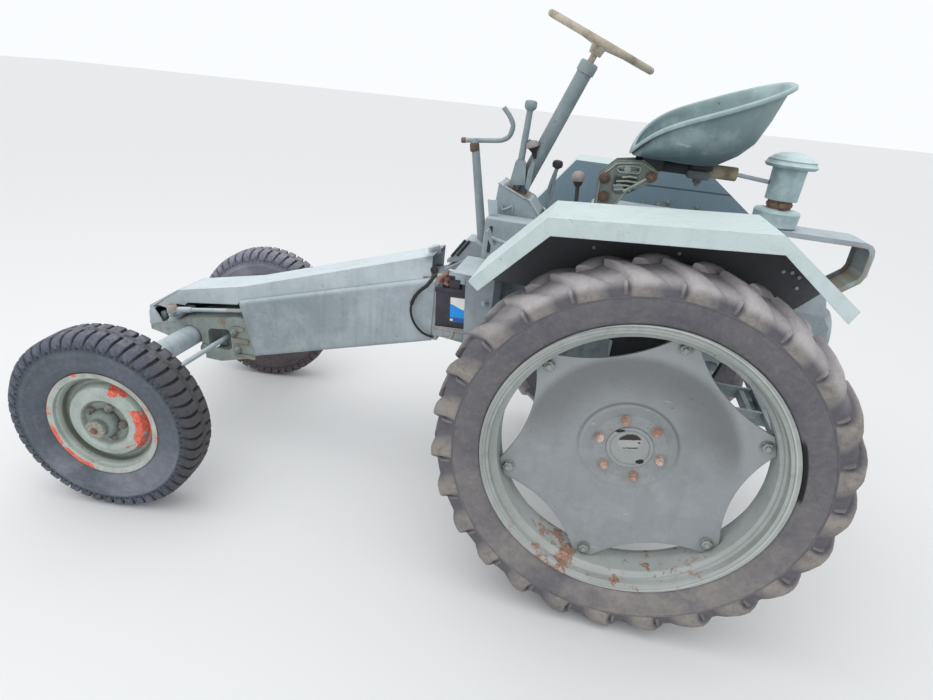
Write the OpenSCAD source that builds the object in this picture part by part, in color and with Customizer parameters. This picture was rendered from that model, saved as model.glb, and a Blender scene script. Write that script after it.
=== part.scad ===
// Tool-carrying farm tractor. One sheet-steel beam runs down to a swinging front axle, the driver
// sits over the rear axle, and the engine hangs behind it.
// Millimetres. X runs to the rear, Y to the tractor's right, Z up. Ground is z = 0.
// The body is drawn level and then leans back a little onto its rear tyres.

/* [Layout] */
// From the front kingpins back to the rear axle
wheelbase = 1977; // [1900:1:2100]
// Height of the rear axle in the level drawing of the body
axle_height = 690; // [680:1:700]
// Between the mid planes of the two rear tyres
rear_track = 1250; // [1250:1:1400]
// From the centre plane out to each kingpin
kingpin_y = 470; // [465:1:520]
// From a kingpin out to the front wheel's mid plane
kingpin_to_wheel = 175; // [172:1:200]
// How far the front wheels stand turned to the left as parked, in degrees
rest_steer = 7; // [0:0.5:15]

/* [Rear wheels] */
// Outer radius of a rear tyre over its lugs
rear_tyre_r = 660; // [650:1:680]
// Radius of the rear rim's flange
rear_rim_r = 482; // [475:1:490]
// Half the width over the rear rim's flanges
rear_rim_half = 90; // [86:1:96]
// Lugs on each side of a rear tyre
rear_lugs = 25; // [20:1:27]
// Radius that a disc tip reaches
disc_tip_r = 430; // [415:1:432]
// Radius of the disc's edge midway between two tips
disc_waist_r = 350; // [320:1:370]
// Thickness of the disc plate
disc_t = 8; // [6:1:12]

/* [Front wheels] */
// Outer radius of a front tyre, which is also the height of its hub
front_tyre_r = 380; // [370:1:385]
// Radius of the front rim's flange
front_rim_r = 222; // [218:1:226]
// Half the width over the front rim's flanges
front_rim_half = 62; // [58:1:66]
// Tread bars on each side of a front tyre
front_bars = 36; // [24:1:52]

/* [Front axle and steering] */
// Height of the axle tube's centre
axle_z = 520; // [512:1:524]
// Radius of the axle tube
axle_r = 48; // [44:1:48]
// Radius of a kingpin
kingpin_r = 16; // [14:0.5:18]
// Length of the arm from a kingpin back to the tie rod
steer_arm = 165; // [155:1:168]
// From the axle tube forward to the shaft of the centre lever
lever_ahead = 71; // [70:1:76]
// Length of the centre lever's top arm, which the drag link turns
drag_arm = 142; // [138:1:150]
// Radius of the tie rod
tie_rod_r = 11; // [9:0.5:13]
// Radius of the drag link
drag_link_r = 9; // [8:0.5:11]

/* [Beam] */
// How far the beam climbs from its foot to the gearbox flange
beam_rise = 240.2; // [225:0.1:250]
// Width of the beam
beam_w = 240; // [225:1:250]
// Depth of the beam, square to its length
beam_h = 268; // [262:1:270]
// Thickness of the beam's steel
beam_t = 6; // [4:0.5:8]
// Width of the cover along the top of the beam
cover_w = 200; // [190:1:210]
// Thickness of the cover's sheet
cover_t = 3; // [2:0.5:4]

/* [Body] */
// Thickness of the mudguard, platform and hood sheet
sheet = 3; // [2:0.5:4]
// From the centre plane out to a mudguard's inner panel
guard_in = 441; // [436:1:450]
// From the centre plane out to a mudguard's outer edge
guard_out = 742; // [735:1:760]
// Depth of the turned-down outer edge of a mudguard
guard_lip = 48; // [30:1:55]
// Width of the gearbox over the rear axle
gearbox_w = 300; // [280:1:320]

/* [Driver's place] */
// Lean of the steering column from upright, in degrees
column_lean = 21.7; // [19:0.1:23]
// Radius of the steering wheel to the middle of its rim
steer_wheel_r = 195; // [180:1:205]
// Radius of the steering wheel's rim section
steer_rim_r = 12; // [10:0.5:14]
// Length of the seat pan
seat_l = 500; // [460:1:520]
// Width of the seat pan
seat_w = 420; // [400:1:450]

/* [Hidden] */
$fn = 64;
left = -1;
right = 1;
// The plan centre of the whole tractor, measured from the rear axle
plan_x = -825.95;
eps = 0.05;
seam = 0.16;

body_paint = "#9fb0aa";
cast_paint = "#84938c";
rubber = "#3c3a3d";
dark_steel = "#5b5148";

kingpin_x = -wheelbase;
rear_z = axle_height;
// How far the body leans back, and how far it then drops to stand on its tyres
stance = asin((axle_height - rear_tyre_r) / wheelbase);
lift = rear_tyre_r - axle_height * cos(stance) - 1;
lever_x = kingpin_x - lever_ahead;
lever_reach = steer_arm + lever_ahead;
rest_lever = atan2(steer_arm * sin(rest_steer), lever_ahead + steer_arm * cos(rest_steer));
bracket_half = 105;
bracket_wall = 12;
tie_z = 530;
arm_z = 432;
arm_t = 18;
lever_z = 446;
lever_t = 16;
fork_z = 490;
ball_z = 651;
stub_r = 22;
case_out = guard_in - sheet;
tank_top = 1365;
gear_top = 1130;
floor_z = 1140;
console_top = 1290;
strap_z = 1380;
cylinder_x = [325, 478];
cleaner_x = 374;
flange_x = -826;
beam_foot = [kingpin_x + 340, 486];
beam_slope = atan2(beam_rise, flange_x - beam_foot.x);
beam_l = (flange_x - beam_foot.x + beam_h) / cos(beam_slope);

// Leans the level drawing back and puts its origin, under the rear axle, into the plan centre.
module placed() translate([-plan_x, 0, lift]) rotate([0, stance, 0]) children();

// Points in the X-Z plane that are measured back from the kingpins.
function front(points) = [for (p = points) [kingpin_x + p.x, p.y]];

// Height of the beam's top, with the cover's seam on it, at a place along the tractor.
function beam_top(x) = beam_foot.y + beam_h / cos(beam_slope)
    + (x - beam_foot.x) * tan(beam_slope) + seam;

// A profile in the X-Z plane with thickness from y0 to y1.
module slab(y0, y1) translate([0, y1, 0]) rotate([90, 0, 0]) linear_extrude(y1 - y0) children();

// A section in the Y-Z plane carried l along X.
module run_x(l) rotate([90, 0, 90]) linear_extrude(l) children();

// A round bar of radius r between two points.
module bar(p, q, r) {
    d = q - p;
    l = norm(d);
    translate(p) rotate([0, acos(d.z / l), atan2(d.y, d.x)]) cylinder(h = l, r = r, $fn = 32);
}

// A bent rod: a bar along each stretch and a ball at each bend.
module rod(points, r) {
    for (i = [0:len(points) - 2]) bar(points[i], points[i + 1], r);
    for (i = [1:len(points) - 2]) translate(points[i]) sphere(r = 1.05 * r, $fn = 24);
}

// A rectangle with round corners, centred on the Y axis and standing on the X axis.
module round_box(w, h, r) {
    translate([-w / 2 + r, 0]) square([w - 2 * r, h]);
    translate([-w / 2, r]) square([w, h - 2 * r]);
    for (x = [r - w / 2, w / 2 - r], y = [r, h - r]) translate([x, y]) circle(r = r, $fn = 32);
}

// Shows a piece of the left side where it is, or mirrored to the right.
module for_side(side) mirror([0, side == right ? 1 : 0, 0]) children();

// From the rear wheel's own frame, where Z points out of the tractor, to its place.
module rear_wheel(side)
    placed() for_side(side) translate([0, -rear_track / 2, rear_z]) rotate([90, 0, 0]) children();

// A front corner turned about its kingpin. The kingpin's axis is the local Z axis.
module front_corner(side) placed() translate([kingpin_x, side * kingpin_y, 0])
    rotate([0, 0, rest_steer]) for_side(side) children();

// From the front wheel's own frame, where Z points out of the tractor, to its corner.
module front_wheel(side)
    front_corner(side) translate([0, -kingpin_to_wheel, front_tyre_r]) rotate([90, 0, 0]) children();

// The beam's own frame: X climbs along the beam to the rear from the foot of its front edge.
module on_beam()
    placed() translate([beam_foot.x, 0, beam_foot.y]) rotate([0, -beam_slope, 0]) children();

// Points along a smooth curve through the given ones, n to each stretch.
function curve(p, n) = concat([for (i = [0:len(p) - 2], k = [0:n - 1]) let (
    a = p[max(i - 1, 0)], b = p[i], c = p[i + 1], d = p[min(i + 2, len(p) - 1)], t = k / n)
    b + t * (c - a) / 2 + t * t * (a - 2.5 * b + 2 * c - d / 2)
        + t * t * t * (1.5 * b - 1.5 * c + (d - a) / 2)], [p[len(p) - 1]]);

function unit(v) = v / norm(v);

// A closed tube of radius r along points, with flat ends.
module tube(points, r, sides) {
    last = len(points) - 1;
    function heading(i) = unit(points[min(i + 1, last)] - points[max(i - 1, 0)]);
    function across(i) = i == 0 ? unit(cross(heading(0), [0, 0, 1]))
        : let (a = across(i - 1), h = heading(i)) unit(a - (a * h) * h);
    rings = [for (i = [0:last]) let (a = across(i), b = cross(heading(i), a))
        each [for (k = [0:sides - 1]) points[i] + r * (cos(360 * k / sides) * a
            + sin(360 * k / sides) * b)]];
    skin = [for (i = [0:last - 1], k = [0:sides - 1]) let (n = (k + 1) % sides)
        [i * sides + k, (i + 1) * sides + k, (i + 1) * sides + n, i * sides + n]];
    polyhedron(rings, concat([[for (k = [0:sides - 1]) k]], skin,
        [[for (k = [sides - 1:-1:0]) last * sides + k]]));
}

function flip(points) = [for (i = [len(points) - 1:-1:0]) [points[i].x, -points[i].y]];

// Half a tyre section as [radius, from mid plane], from the bead out to the tread, then its mirror.
module tyre_section(bead, half_bead, belly, half_belly, tread, half_tread) {
    half = [[bead, half_bead], [bead + 22, half_bead], [belly, half_belly],
        [tread - 30, half_tread], [tread, half_tread - 22]];
    polygon(concat(half, flip(half)));
}

// One tread lug, on a tyre of radius r. plan holds [from mid plane, along the tread] points.
module lug(r, depth, plan, side, turn, fall)
    rotate([0, 0, turn]) translate([r - 10, 0, 0]) rotate([0, -side * fall, 0]) rotate([0, 90, 0])
        linear_extrude(depth + 8) polygon([for (p = plan) [-side * p.x, p.y]]);

module tyre(side) {
    tread = rear_tyre_r - 24;
    rotate_extrude() tyre_section(rear_rim_r - 21, 77, 560, 108, tread, 100);
    sweep = 62;
    face = 30;
    plan = [[-5, sweep / 2], [-5, sweep / 2 + face], [97, face - sweep / 2], [97, -sweep / 2]];
    pitch = 360 / rear_lugs;
    for (k = [0:rear_lugs - 1], s = [-1, 1])
        lug(tread, 22.5, plan, s, (k + (s > 0 ? 0.5 : 0)) * pitch - 4.8, 7);
}

module rear_tyre(side) color(rubber) rear_wheel(side) tyre(side);

module front_tyre(side) color(rubber) front_wheel(side) {
    tread = front_tyre_r - 14;
    rotate_extrude() tyre_section(front_rim_r - 17, 51, 300, 83, tread, 77);
    plan = [[14, -9], [14, 9], [75, 12], [75, -12]];
    for (k = [0:front_bars - 1], s = [-1, 1])
        lug(tread, 15.4, plan, s, (k + (s > 0 ? 0.5 : 0)) * 360 / front_bars, 3);
}

// Rolled steel rims. Points are [radius, from mid plane]: the tyre's side from the flange to the
// well, then the open side from the well to the flange.
module rear_rim(side) color(body_paint) rear_wheel(side) {
    h = rear_rim_half;
    out = [[rear_rim_r, h], [rear_rim_r, h - 6], [460, h - 10], [460, 58], [438, 44]];
    in = [[431, 48], [453, 64], [453, h - 4], [rear_rim_r - 6, h]];
    rotate_extrude() polygon(concat(out, flip(out), flip(in), in));
    for (k = [0:5]) rotate([0, 0, 19.25 + 60 * k]) translate([392, -30, -18]) cube([42, 60, 13]);
}

module front_rim(side) color(body_paint) front_wheel(side) {
    h = front_rim_half;
    out = [[front_rim_r, h], [front_rim_r, h - 5], [204, h - 9], [204, 38], [188, 26]];
    in = [[183, 29], [199, 42], [199, h - 4], [front_rim_r - 5, h]];
    rotate_extrude() polygon(concat(out, flip(out), flip(in), in));
    // The pressed bowl, from the rim's well in to the hub
    bowl = [[185, 2], [160, 4], [146, 30], [118, 42], [96, 40], [84, 25], [41, 25]];
    difference() {
        rotate_extrude() polygon(concat(bowl, [for (i = [6:-1:0]) bowl[i] + [1, 5.5]]));
        for (k = [0:4]) rotate([0, 0, 72 * k - 1]) translate([68.5, 0, 0]) cylinder(h = 40, r = 8);
    }
}

// The dished plate between hub and rim: a cone from the hub seat out to six bolted tips.
module rear_disc(side) color(body_paint) rear_wheel(side) {
    dish = [[48, -56], [120, -56], [158, -38], [206, -31], [disc_tip_r, 2]];
    bite_x = disc_tip_r * cos(25.5);
    bite_y = disc_tip_r * sin(25.5);
    deep = bite_x - disc_waist_r;
    bite_r = (bite_y * bite_y + deep * deep) / (2 * deep);
    difference() {
        rotate_extrude() polygon(concat(dish, [for (i = [4:-1:0]) dish[i] + [0, disc_t]]));
        for (k = [0:5]) rotate([0, 0, 49.25 + 60 * k]) translate([disc_waist_r + bite_r, 0, -60])
            cylinder(h = 90, r = bite_r);
        for (k = [0:5]) rotate([0, 0, 48.7 + 60 * k]) translate([105, 0, -60])
            cylinder(h = 20, r = 9);
        for (k = [0:5]) rotate([0, 0, 19.25 + 60 * k]) translate([407, 0, -20])
            cylinder(h = 50, r = 7);
    }
}

// The drive flange and its half shaft, with six studs that the disc sits on.
module rear_hub(side) color(cast_paint) rear_wheel(side) {
    translate([0, 0, -76]) cylinder(h = 20, r = 125);
    translate([0, 0, -187]) cylinder(h = 115, r = 46);
    translate([0, 0, -57]) cylinder(h = 12, r = 47);
    for (k = [0:5]) rotate([0, 0, 48.7 + 60 * k]) translate([105, 0, -57]) cylinder(h = 17, r = 8.9);
}

// The front hub: a barrel on the stub axle, a flange behind the disc and a long nose.
module front_hub(side) color(cast_paint) front_wheel(side) difference() {
    union() {
        translate([0, 0, -92]) cylinder(h = 150, r = 40);
        translate([0, 0, 11]) cylinder(h = 14, r = 86);
        translate([0, 0, 58]) cylinder(h = 38, r1 = 35.5, r2 = 33);
        translate([0, 0, 96]) cylinder(h = 8, r1 = 26, r2 = 20);
        for (k = [0:4]) rotate([0, 0, 72 * k - 1]) translate([68.5, 0, 24])
            cylinder(h = 28, r = 7.9);
    }
    translate([0, 0, -93]) cylinder(h = 153, r = stub_r + eps);
}

// The steering knuckle: kingpin, lower head, stub axle and the arm back to the tie rod.
module knuckle(side) color(cast_paint) front_corner(side) {
    translate([0, 0, 430]) cylinder(h = 175, r = kingpin_r);
    translate([0, 0, 597]) cylinder(h = 12, r = 26);
    translate([0, 0, 346]) cylinder(h = 104, r = 34);
    translate([0, 0, front_tyre_r]) rotate([90, 0, 0]) cylinder(h = 232, r = stub_r);
    translate([0, 0, front_tyre_r]) rotate([90, 0, 0]) cylinder(h = 76, r = 31);
    translate([0, -15, arm_z]) cube([steer_arm, 30, arm_t]);
    translate([steer_arm, 0, arm_z]) cylinder(h = arm_t, r = 19);
    translate([0, -19, arm_z]) cube([60, 38, arm_t]);
    translate([steer_arm, 0, arm_z]) cylinder(h = tie_z + 24 - arm_z, r = 8);
}

// The tie rod from knuckle to knuckle, with the pin that the centre lever's fork holds.
module tie_rod() color(cast_paint) placed() {
    reach = steer_arm * [cos(rest_steer), sin(rest_steer)];
    translate([kingpin_x + reach.x, reach.y, tie_z]) {
        for (side = [left, right]) translate([0, side * kingpin_y, -15]) difference() {
            cylinder(h = 30, r = 20);
            translate([0, 0, -1]) cylinder(h = 32, r = 8 + (side == left ? eps : 0.6));
        }
        translate([0, kingpin_y - 18, 0]) rotate([90, 0, 0])
            cylinder(h = 2 * kingpin_y - 36, r = tie_rod_r);
        translate([0, 0, fork_z - tie_z - 4]) cylinder(h = tie_z - fork_z + 4, r = 10);
        translate([0, 0, -16]) cylinder(h = 32, r = 18);
    }
}

// The centre lever: the drag link pulls its top arm. Its long arm dips under the axle, and the
// slot in its raised end shifts the tie rod.
module steer_lever() color(cast_paint) placed() translate([lever_x, 0, 0])
    rotate([0, 0, rest_lever]) difference() {
        union() {
            translate([0, 0, lever_z]) cylinder(h = 174, r = 13);
            translate([0, 0, 604]) cylinder(h = 16, r = 24);
            translate([-15, -drag_arm, 604]) cube([30, drag_arm, 16]);
            translate([0, -drag_arm, 604]) cylinder(h = 16, r = 15);
            translate([0, -drag_arm, 606]) cylinder(h = ball_z + 20 - 606, r = 9);
            translate([0, 0, lever_z]) cylinder(h = lever_t, r = 22);
            translate([0, -11, lever_z]) cube([182, 22, lever_t]);
            translate([168, -11, lever_z]) cube([14, 22, fork_z - lever_z + lever_t]);
            translate([168, -11, fork_z]) cube([60, 22, lever_t]);
            translate([206, -21, fork_z]) cube([lever_reach + 26 - 206, 42, lever_t]);
        }
        translate([lever_reach - 22, -12, fork_z - 1]) cube([30, 24, lever_t + 2]);
        for (x = [lever_reach - 22, lever_reach + 8]) translate([x, 0, fork_z - 1])
            cylinder(h = lever_t + 2, r = 12);
    }

// The drag link from the lever's ball up into the beam.
module drag_link() color(cast_paint) placed() {
    ball = [lever_x + drag_arm * sin(rest_lever), -drag_arm * cos(rest_lever), ball_z];
    tail = [-1000, 0, 780];
    difference() {
        union() {
            bar(ball, tail, drag_link_r);
            translate(ball - [0, 0, 16]) cylinder(h = 32, r = 18);
            bar(ball, ball + 0.09 * (tail - ball), 13);
        }
        translate(ball - [0, 0, 20]) cylinder(h = 40, r = 9 + eps);
    }
}

// The hollow main beam.
module front_beam() color(body_paint) difference() {
    on_beam() run_x(beam_l) round_box(beam_w, beam_h, 20);
    on_beam() translate([-1, 0, beam_t]) run_x(beam_l + 2)
        round_box(beam_w - 2 * beam_t, beam_h - 2 * beam_t, 14);
    // Cut upright at the rear, where the gearbox flange closes it
    placed() translate([flange_x, -beam_w, 400]) cube([400, 2 * beam_w, 900]);
}

// The folded cover along the beam, with its low nose over the steering lever. Points are [x, z],
// from the nose up the brow and along the crest, then back along the beam's top.
module beam_cover() color(body_paint) placed() {
    t = cover_t;
    back = flange_x - 24;
    crest = concat(front([[-217, 570], [-215, 604], [-53, 733], [272, 806]]), [[back, 1090]]);
    inside = concat(front([[-213, 520], [-211, 602], [-51, 729], [273, 802]]), [[back + 10, 1089]]);
    difference() {
        slab(-cover_w / 2, cover_w / 2) polygon(concat(crest, [[back, beam_top(back)]],
            front([[263.8, beam_top(kingpin_x + 263.8)], [248, 718], [-8, 680], [-23, 664],
            [-67, 664], [-91, 630], [-173, 642], [-201, 580]])));
        slab(t - cover_w / 2, cover_w / 2 - t) polygon(concat(inside, [[back + 10, 900]],
            front([[277, 600]])));
    }
    // The filler cap at the rear end
    translate([-806 - 60, 0, 1070]) rotate([0, -18, 0]) cylinder(h = 34, r = 26);
}

// The cast bracket bolted to the beam's front: two cheeks, rails, and the axle's pivot pin.
module axle_bracket() color(cast_paint) placed() {
    w = bracket_half;
    difference() {
        slab(-w, w) polygon(front([[-209, 515], [-209, 538], [-33, 598], [232, 655], [289.8, 655],
            [339.8, 486], [287, 459], [151, 420], [72, 420], [72, 470], [-63, 470], [-133, 500]]));
        // Between the cheeks
        slab(-w + bracket_wall, w - bracket_wall) polygon(front([[-52, 400], [-52, 570],
            [51, 592], [51, 475], [72, 475], [72, 592], [237, 630], [277, 475], [151, 440],
            [71, 440], [71, 400]]));
        slab(-w + bracket_wall, w - bracket_wall) polygon(front([[-193, 400], [-193, 525],
            [-98, 552], [-98, 400]]));
        // Arches over the axle tube, and a window in each cheek
        slab(-w - 1, w + 1) {
            translate([kingpin_x + 2, axle_z - 3]) circle(r = 54);
            translate([kingpin_x - 52, 380]) square([108, axle_z - 383]);
            polygon(front([[91, 480], [91, 560], [105, 576], [192, 588], [205, 572], [211, 500],
                [193, 480]]));
        }
        // Under the boss of the centre lever
        translate([lever_x - 45, -w - 1, 380]) cube([80, 2 * w + 2, 100]);
        translate([lever_x, 0, 400]) cylinder(h = 300, r = 13 + eps);
    }
    difference() {
        translate([lever_x, 0, 570]) cylinder(h = 29, r = 24);
        translate([lever_x, 0, 569]) cylinder(h = 31, r = 13 + eps);
    }
    // The pin that the axle tube swings on, and its boss
    translate([kingpin_x + 51, 0, axle_z]) rotate([0, 90, 0]) cylinder(h = 26, r = 38);
    translate([kingpin_x - axle_r + 4, 0, axle_z]) rotate([0, 90, 0])
        cylinder(h = axle_r + 60, r = 20);
}

// The front axle: a tube with a kingpin eye at each end.
module front_axle() color(cast_paint) placed() translate([kingpin_x, 0, 0]) difference() {
    union() {
        translate([0, kingpin_y, axle_z]) rotate([90, 0, 0]) cylinder(h = 2 * kingpin_y, r = axle_r);
        for (side = [left, right]) translate([0, side * kingpin_y, 455]) cylinder(h = 137, r = 40);
    }
    for (side = [left, right]) translate([0, side * kingpin_y, 400])
        cylinder(h = 250, r = kingpin_r + eps);
    translate([-axle_r - 1, 0, axle_z]) rotate([0, 90, 0]) cylinder(h = 2 * axle_r + 2, r = 20 + eps);
}

// The gearbox: a flange on the beam, a waist under the console and the main case over the axle.
module gearbox() color(cast_paint) placed() {
    slab(-118, 118) polygon([[-826, 738], [-826, 1012], [-800, 1012], [-800, 738]]);
    slab(-100, 100) polygon([[-801, 750], [-801, 1040], [-720, 1095], [-600, 1095], [-250, gear_top],
        [-250, 700], [-420, 715]]);
    w = gearbox_w / 2;
    slab(-w, w) polygon([[-262, 720], [-262, 1090], [-225, gear_top], [180, gear_top], [214, 1090],
        [214, 760], [170, 700], [-230, 700]]);
    // Power take-off: a bearing cover and the shaft's stub
    translate([214, 0, 800]) rotate([0, 90, 0]) cylinder(h = 22, r = 55);
    translate([230, 0, 800]) rotate([0, 90, 0]) cylinder(h = 100, r = 17.45);
}

// The rear axle: a tube each side and a drop case down to the wheel shaft.
module final_drives() color(cast_paint) placed() for (side = [left, right]) for_side(side) {
    high = 930;
    translate([0, -gearbox_w / 2, high]) rotate([90, 0, 0]) cylinder(h = 160, r = 92);
    difference() {
        union() {
            translate([0, -305, high]) rotate([90, 0, 0]) cylinder(h = case_out - 305, r = 120);
            translate([0, -305, rear_z]) rotate([90, 0, 0]) cylinder(h = case_out - 305, r = 112);
            translate([-108, -case_out, rear_z]) cube([216, case_out - 305, high - rear_z]);
            translate([0, -case_out + 1, rear_z]) rotate([90, 0, 0]) cylinder(h = 30, r = 70);
        }
        translate([0, -430, rear_z]) rotate([90, 0, 0]) cylinder(h = 45, r = 46 + eps);
    }
}

module fuel_tank() color(body_paint) placed() translate([-35, 0, gear_top]) intersection() {
    translate([-245, 0, 0]) run_x(490) round_box(440, tank_top - gear_top, 40);
    slab(-221, 221) round_box(490, tank_top - gear_top, 34);
}

// The engine: a crankcase on the gearbox and two finned cylinders.
module engine_block() color(cast_paint) placed() {
    slab(-150, 150) polygon([[214, 880], [214, 1090], [240, 1120], [590, 1120], [620, 1080],
        [620, 930], [580, 880]]);
    for (x = cylinder_x) translate([x, 30, 1118]) {
        cylinder(h = 118, r = 52);
        for (i = [0:5]) translate([0, 0, 8 + 15 * i]) cylinder(h = 4, r = 74);
        translate([-62, -62, 92]) cube([124, 124, 26]);
    }
    translate([cylinder_x[0], 0, 1205]) cube([cylinder_x[1] - cylinder_x[0], 50, 31]);
    translate([618, 0, 1000]) rotate([0, 90, 0]) cylinder(h = 34, r = 110);
}

// The sheet duct that leads the fan's air past the cylinders.
module engine_duct() color(body_paint) placed() difference() {
    slab(-150, -48) polygon([[262, 1120], [262, 1236], [560, 1236], [598, 1120]]);
    slab(-150 + sheet, -48 - sheet) polygon([[262 + sheet, 1100], [262 + sheet, 1236 - sheet],
        [557, 1236 - sheet], [594, 1120], [594, 1100]]);
    for (x = cylinder_x) translate([x - 50, -60, 1125]) cube([100, 20, 90]);
}

// The exhaust: a pipe from each cylinder, a silencer along the right side and a tail pipe.
module exhaust() color(dark_steel) placed() {
    for (x = cylinder_x) rod([[x, 92, 1222], [x, 175, 1222], [x, 203, 1080]], 12);
    translate([270, 205, 1060]) rotate([0, 90, 0]) cylinder(h = 280, r = 46);
    rod([[548, 205, 1060], [600, 205, 1050], [655, 225, 1030]], 20);
}

// The air cleaner: oil bowl on the hood, neck, drum and rain cap, over a pipe from the engine.
module air_cleaner() color(body_paint) placed() translate([cleaner_x, 0, 0]) {
    translate([0, 0, 1236]) cylinder(h = strap_z - 1235, r = 26);
    translate([0, 0, strap_z]) rotate_extrude() polygon([[0, 0], [70, 0], [76, 6], [78, 52], [73, 60],
        [39, 64], [39, 90], [54, 94], [57, 202], [79, 204], [85, 212], [77, 228], [62, 242], [40, 252],
        [0, 257]]);
}

// A strap along a path of [x, z] points, as deep as depth and from y0 to y1.
module strap(path, depth, y0, y1) {
    last = len(path) - 1;
    function inward(i) = let (d = unit(path[min(i + 1, last)] - path[max(i - 1, 0)])) [d.y, -d.x];
    slab(y0, y1) polygon(concat(path, [for (i = [last:-1:0]) path[i] + depth * inward(i)]));
}

// The hood strip over the engine with its turned-down edges: up from the crankcase, back over it,
// and down behind.
module rear_hood() color(body_paint) placed() {
    path = [[236, 1121.3], [250, strap_z - 26], [256, strap_z - 9], [272, strap_z], [664, strap_z],
        [684, strap_z - 6], [697, strap_z - 20], [702, strap_z - 40], [702, 1268], [690, 1240],
        [640, 1196]];
    difference() {
        union() {
            strap(path, sheet, -82, 82);
            for (y = [-82, 82 - sheet]) strap(path, 18, y, y + sheet);
        }
        translate([cleaner_x, 0, strap_z - 20]) cylinder(h = 40, r = 26 + eps);
        // Open at the front so that the duct and the cylinders breathe
        translate([200, -52, 1240]) cube([66, 104, 110]);
    }
}

// The hitch: two cheeks under the gearbox and a cross bar with seven holes.
module drawbar() color(cast_paint) placed() {
    for (side = [left, right]) for_side(side) slab(-112, -98)
        polygon([[-160, 640], [-160, 700], [150, 700], [220, 690], [560, 690], [560, 640]]);
    difference() {
        translate([520, -300, 666]) cube([80, 600, 26]);
        for (k = [-3:3]) translate([565, 80 * k, 650]) cylinder(h = 60, r = 11);
    }
    // The pin bracket under the middle of the bar
    difference() {
        translate([480, -40, 600]) cube([120, 80, 67]);
        translate([510, -41, 618]) cube([100, 82, 34]);
        translate([565, 0, 590]) cylinder(h = 100, r = 11);
    }
    translate([470, -98, 640]) cube([20, 196, 40]);
}

// A mudguard, drawn for the left side. front_z and rear_z are the heights of its crest's two ends.
module mudguard(side, front_z, rear_z_) color(body_paint) placed() for_side(side) {
    crest = [[-575, 1215], [-378, front_z], [212, rear_z_], [440, 1312]];
    under = [[-562, 1203], [-376, front_z - sheet], [210, rear_z_ - sheet], [437, 1309]];
    slab(-guard_out, -guard_in + sheet) polygon(concat(crest, [for (i = [3:-1:0]) under[i]]));
    // The turned-down lip along the outer edge
    difference() {
        slab(-guard_out, -guard_out + sheet) polygon(concat(crest, [[424, 1274],
            [226, rear_z_ - guard_lip], [-364, front_z - guard_lip], [-545, 1190]]));
        translate([-600, -guard_out - 1, 1100]) cube([10, 5, 10]);
    }
    // The inner panel, down to the drop case that carries it
    slab(-guard_in, -guard_in + sheet) polygon(concat([[-570, 1209], [-377, front_z - 1],
        [211, rear_z_ - 1], [438, 1310]], [[445, 1268], [400, 1218], [260, 1090], [120, 1000],
        [120, 900], [-120, 900], [-120, 1000], [-330, 1060], [-420, 1137], [-560, 1137]]));
}

// The platform: a console box across the gearbox, a foot plate each side, and side skirts that a
// bulkhead ties to the gearbox.
module platform() color(body_paint) placed() {
    difference() {
        slab(-200, 200) polygon([[-640, floor_z - sheet], [-640, console_top],
            [-430, console_top], [-430, floor_z - sheet]]);
        slab(-200 + sheet, 200 - sheet) polygon([[-637, 1100], [-637, console_top - sheet],
            [-433, console_top - sheet], [-433, 1100]]);
    }
    for (side = [left, right]) for_side(side) {
        slab(-case_out, -200 + sheet) polygon([[-690, floor_z - sheet], [-690, floor_z],
            [-330, floor_z], [-330, floor_z - sheet]]);
        slab(-303, -300) polygon([[-648, 778], [-672, floor_z - 1], [-560, floor_z - 1],
            [-560, 778]]);
        slab(-301, -100) polygon([[-563, 790], [-563, floor_z - 1], [-560, floor_z - 1],
            [-560, 790]]);
    }
}

// The column's own frame, with Z along the steering shaft and zero at the wheel's hub.
module on_column()
    placed() translate([-344.7, -24, 1907]) rotate([0, column_lean, -8.7]) children();

// The steering pedestal on the console, sloped on top and open to the driver.
module pedestal() color(body_paint) difference() {
    placed() slab(-78, 78) polygon([[-634, console_top], [-626, 1403], [-500, 1352], [-446, console_top]]);
    placed() slab(-75, 75) polygon([[-630, console_top + sheet], [-623, 1398], [-500, 1347], [-440, 1285],
        [-440, console_top - 5]]);
    column_tube(0.3);
}

module column_tube(ease) on_column() translate([0, 0, -620]) cylinder(h = 550, r = 22 + ease);

module steering_column() color(body_paint) difference() {
    union() {
        column_tube(0);
        on_column() translate([0, 0, -104]) cylinder(h = 34, r = 27);
    }
    on_column() translate([0, 0, -130]) cylinder(h = 90, r = 12 + eps);
}

module steering_wheel() color("#c9c9bd") on_column() {
    rotate_extrude() translate([steer_wheel_r, 0]) circle(r = steer_rim_r, $fn = 24);
    translate([0, 0, -120]) cylinder(h = 90, r = 12);
    translate([0, 0, -44]) cylinder(h = 50, r1 = 22, r2 = 31);
    for (a = [30, 150, 270]) rotate([0, 0, a]) bar([20, 0, -14], [steer_wheel_r - 4, 0, 0], 5.5);
}

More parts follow.
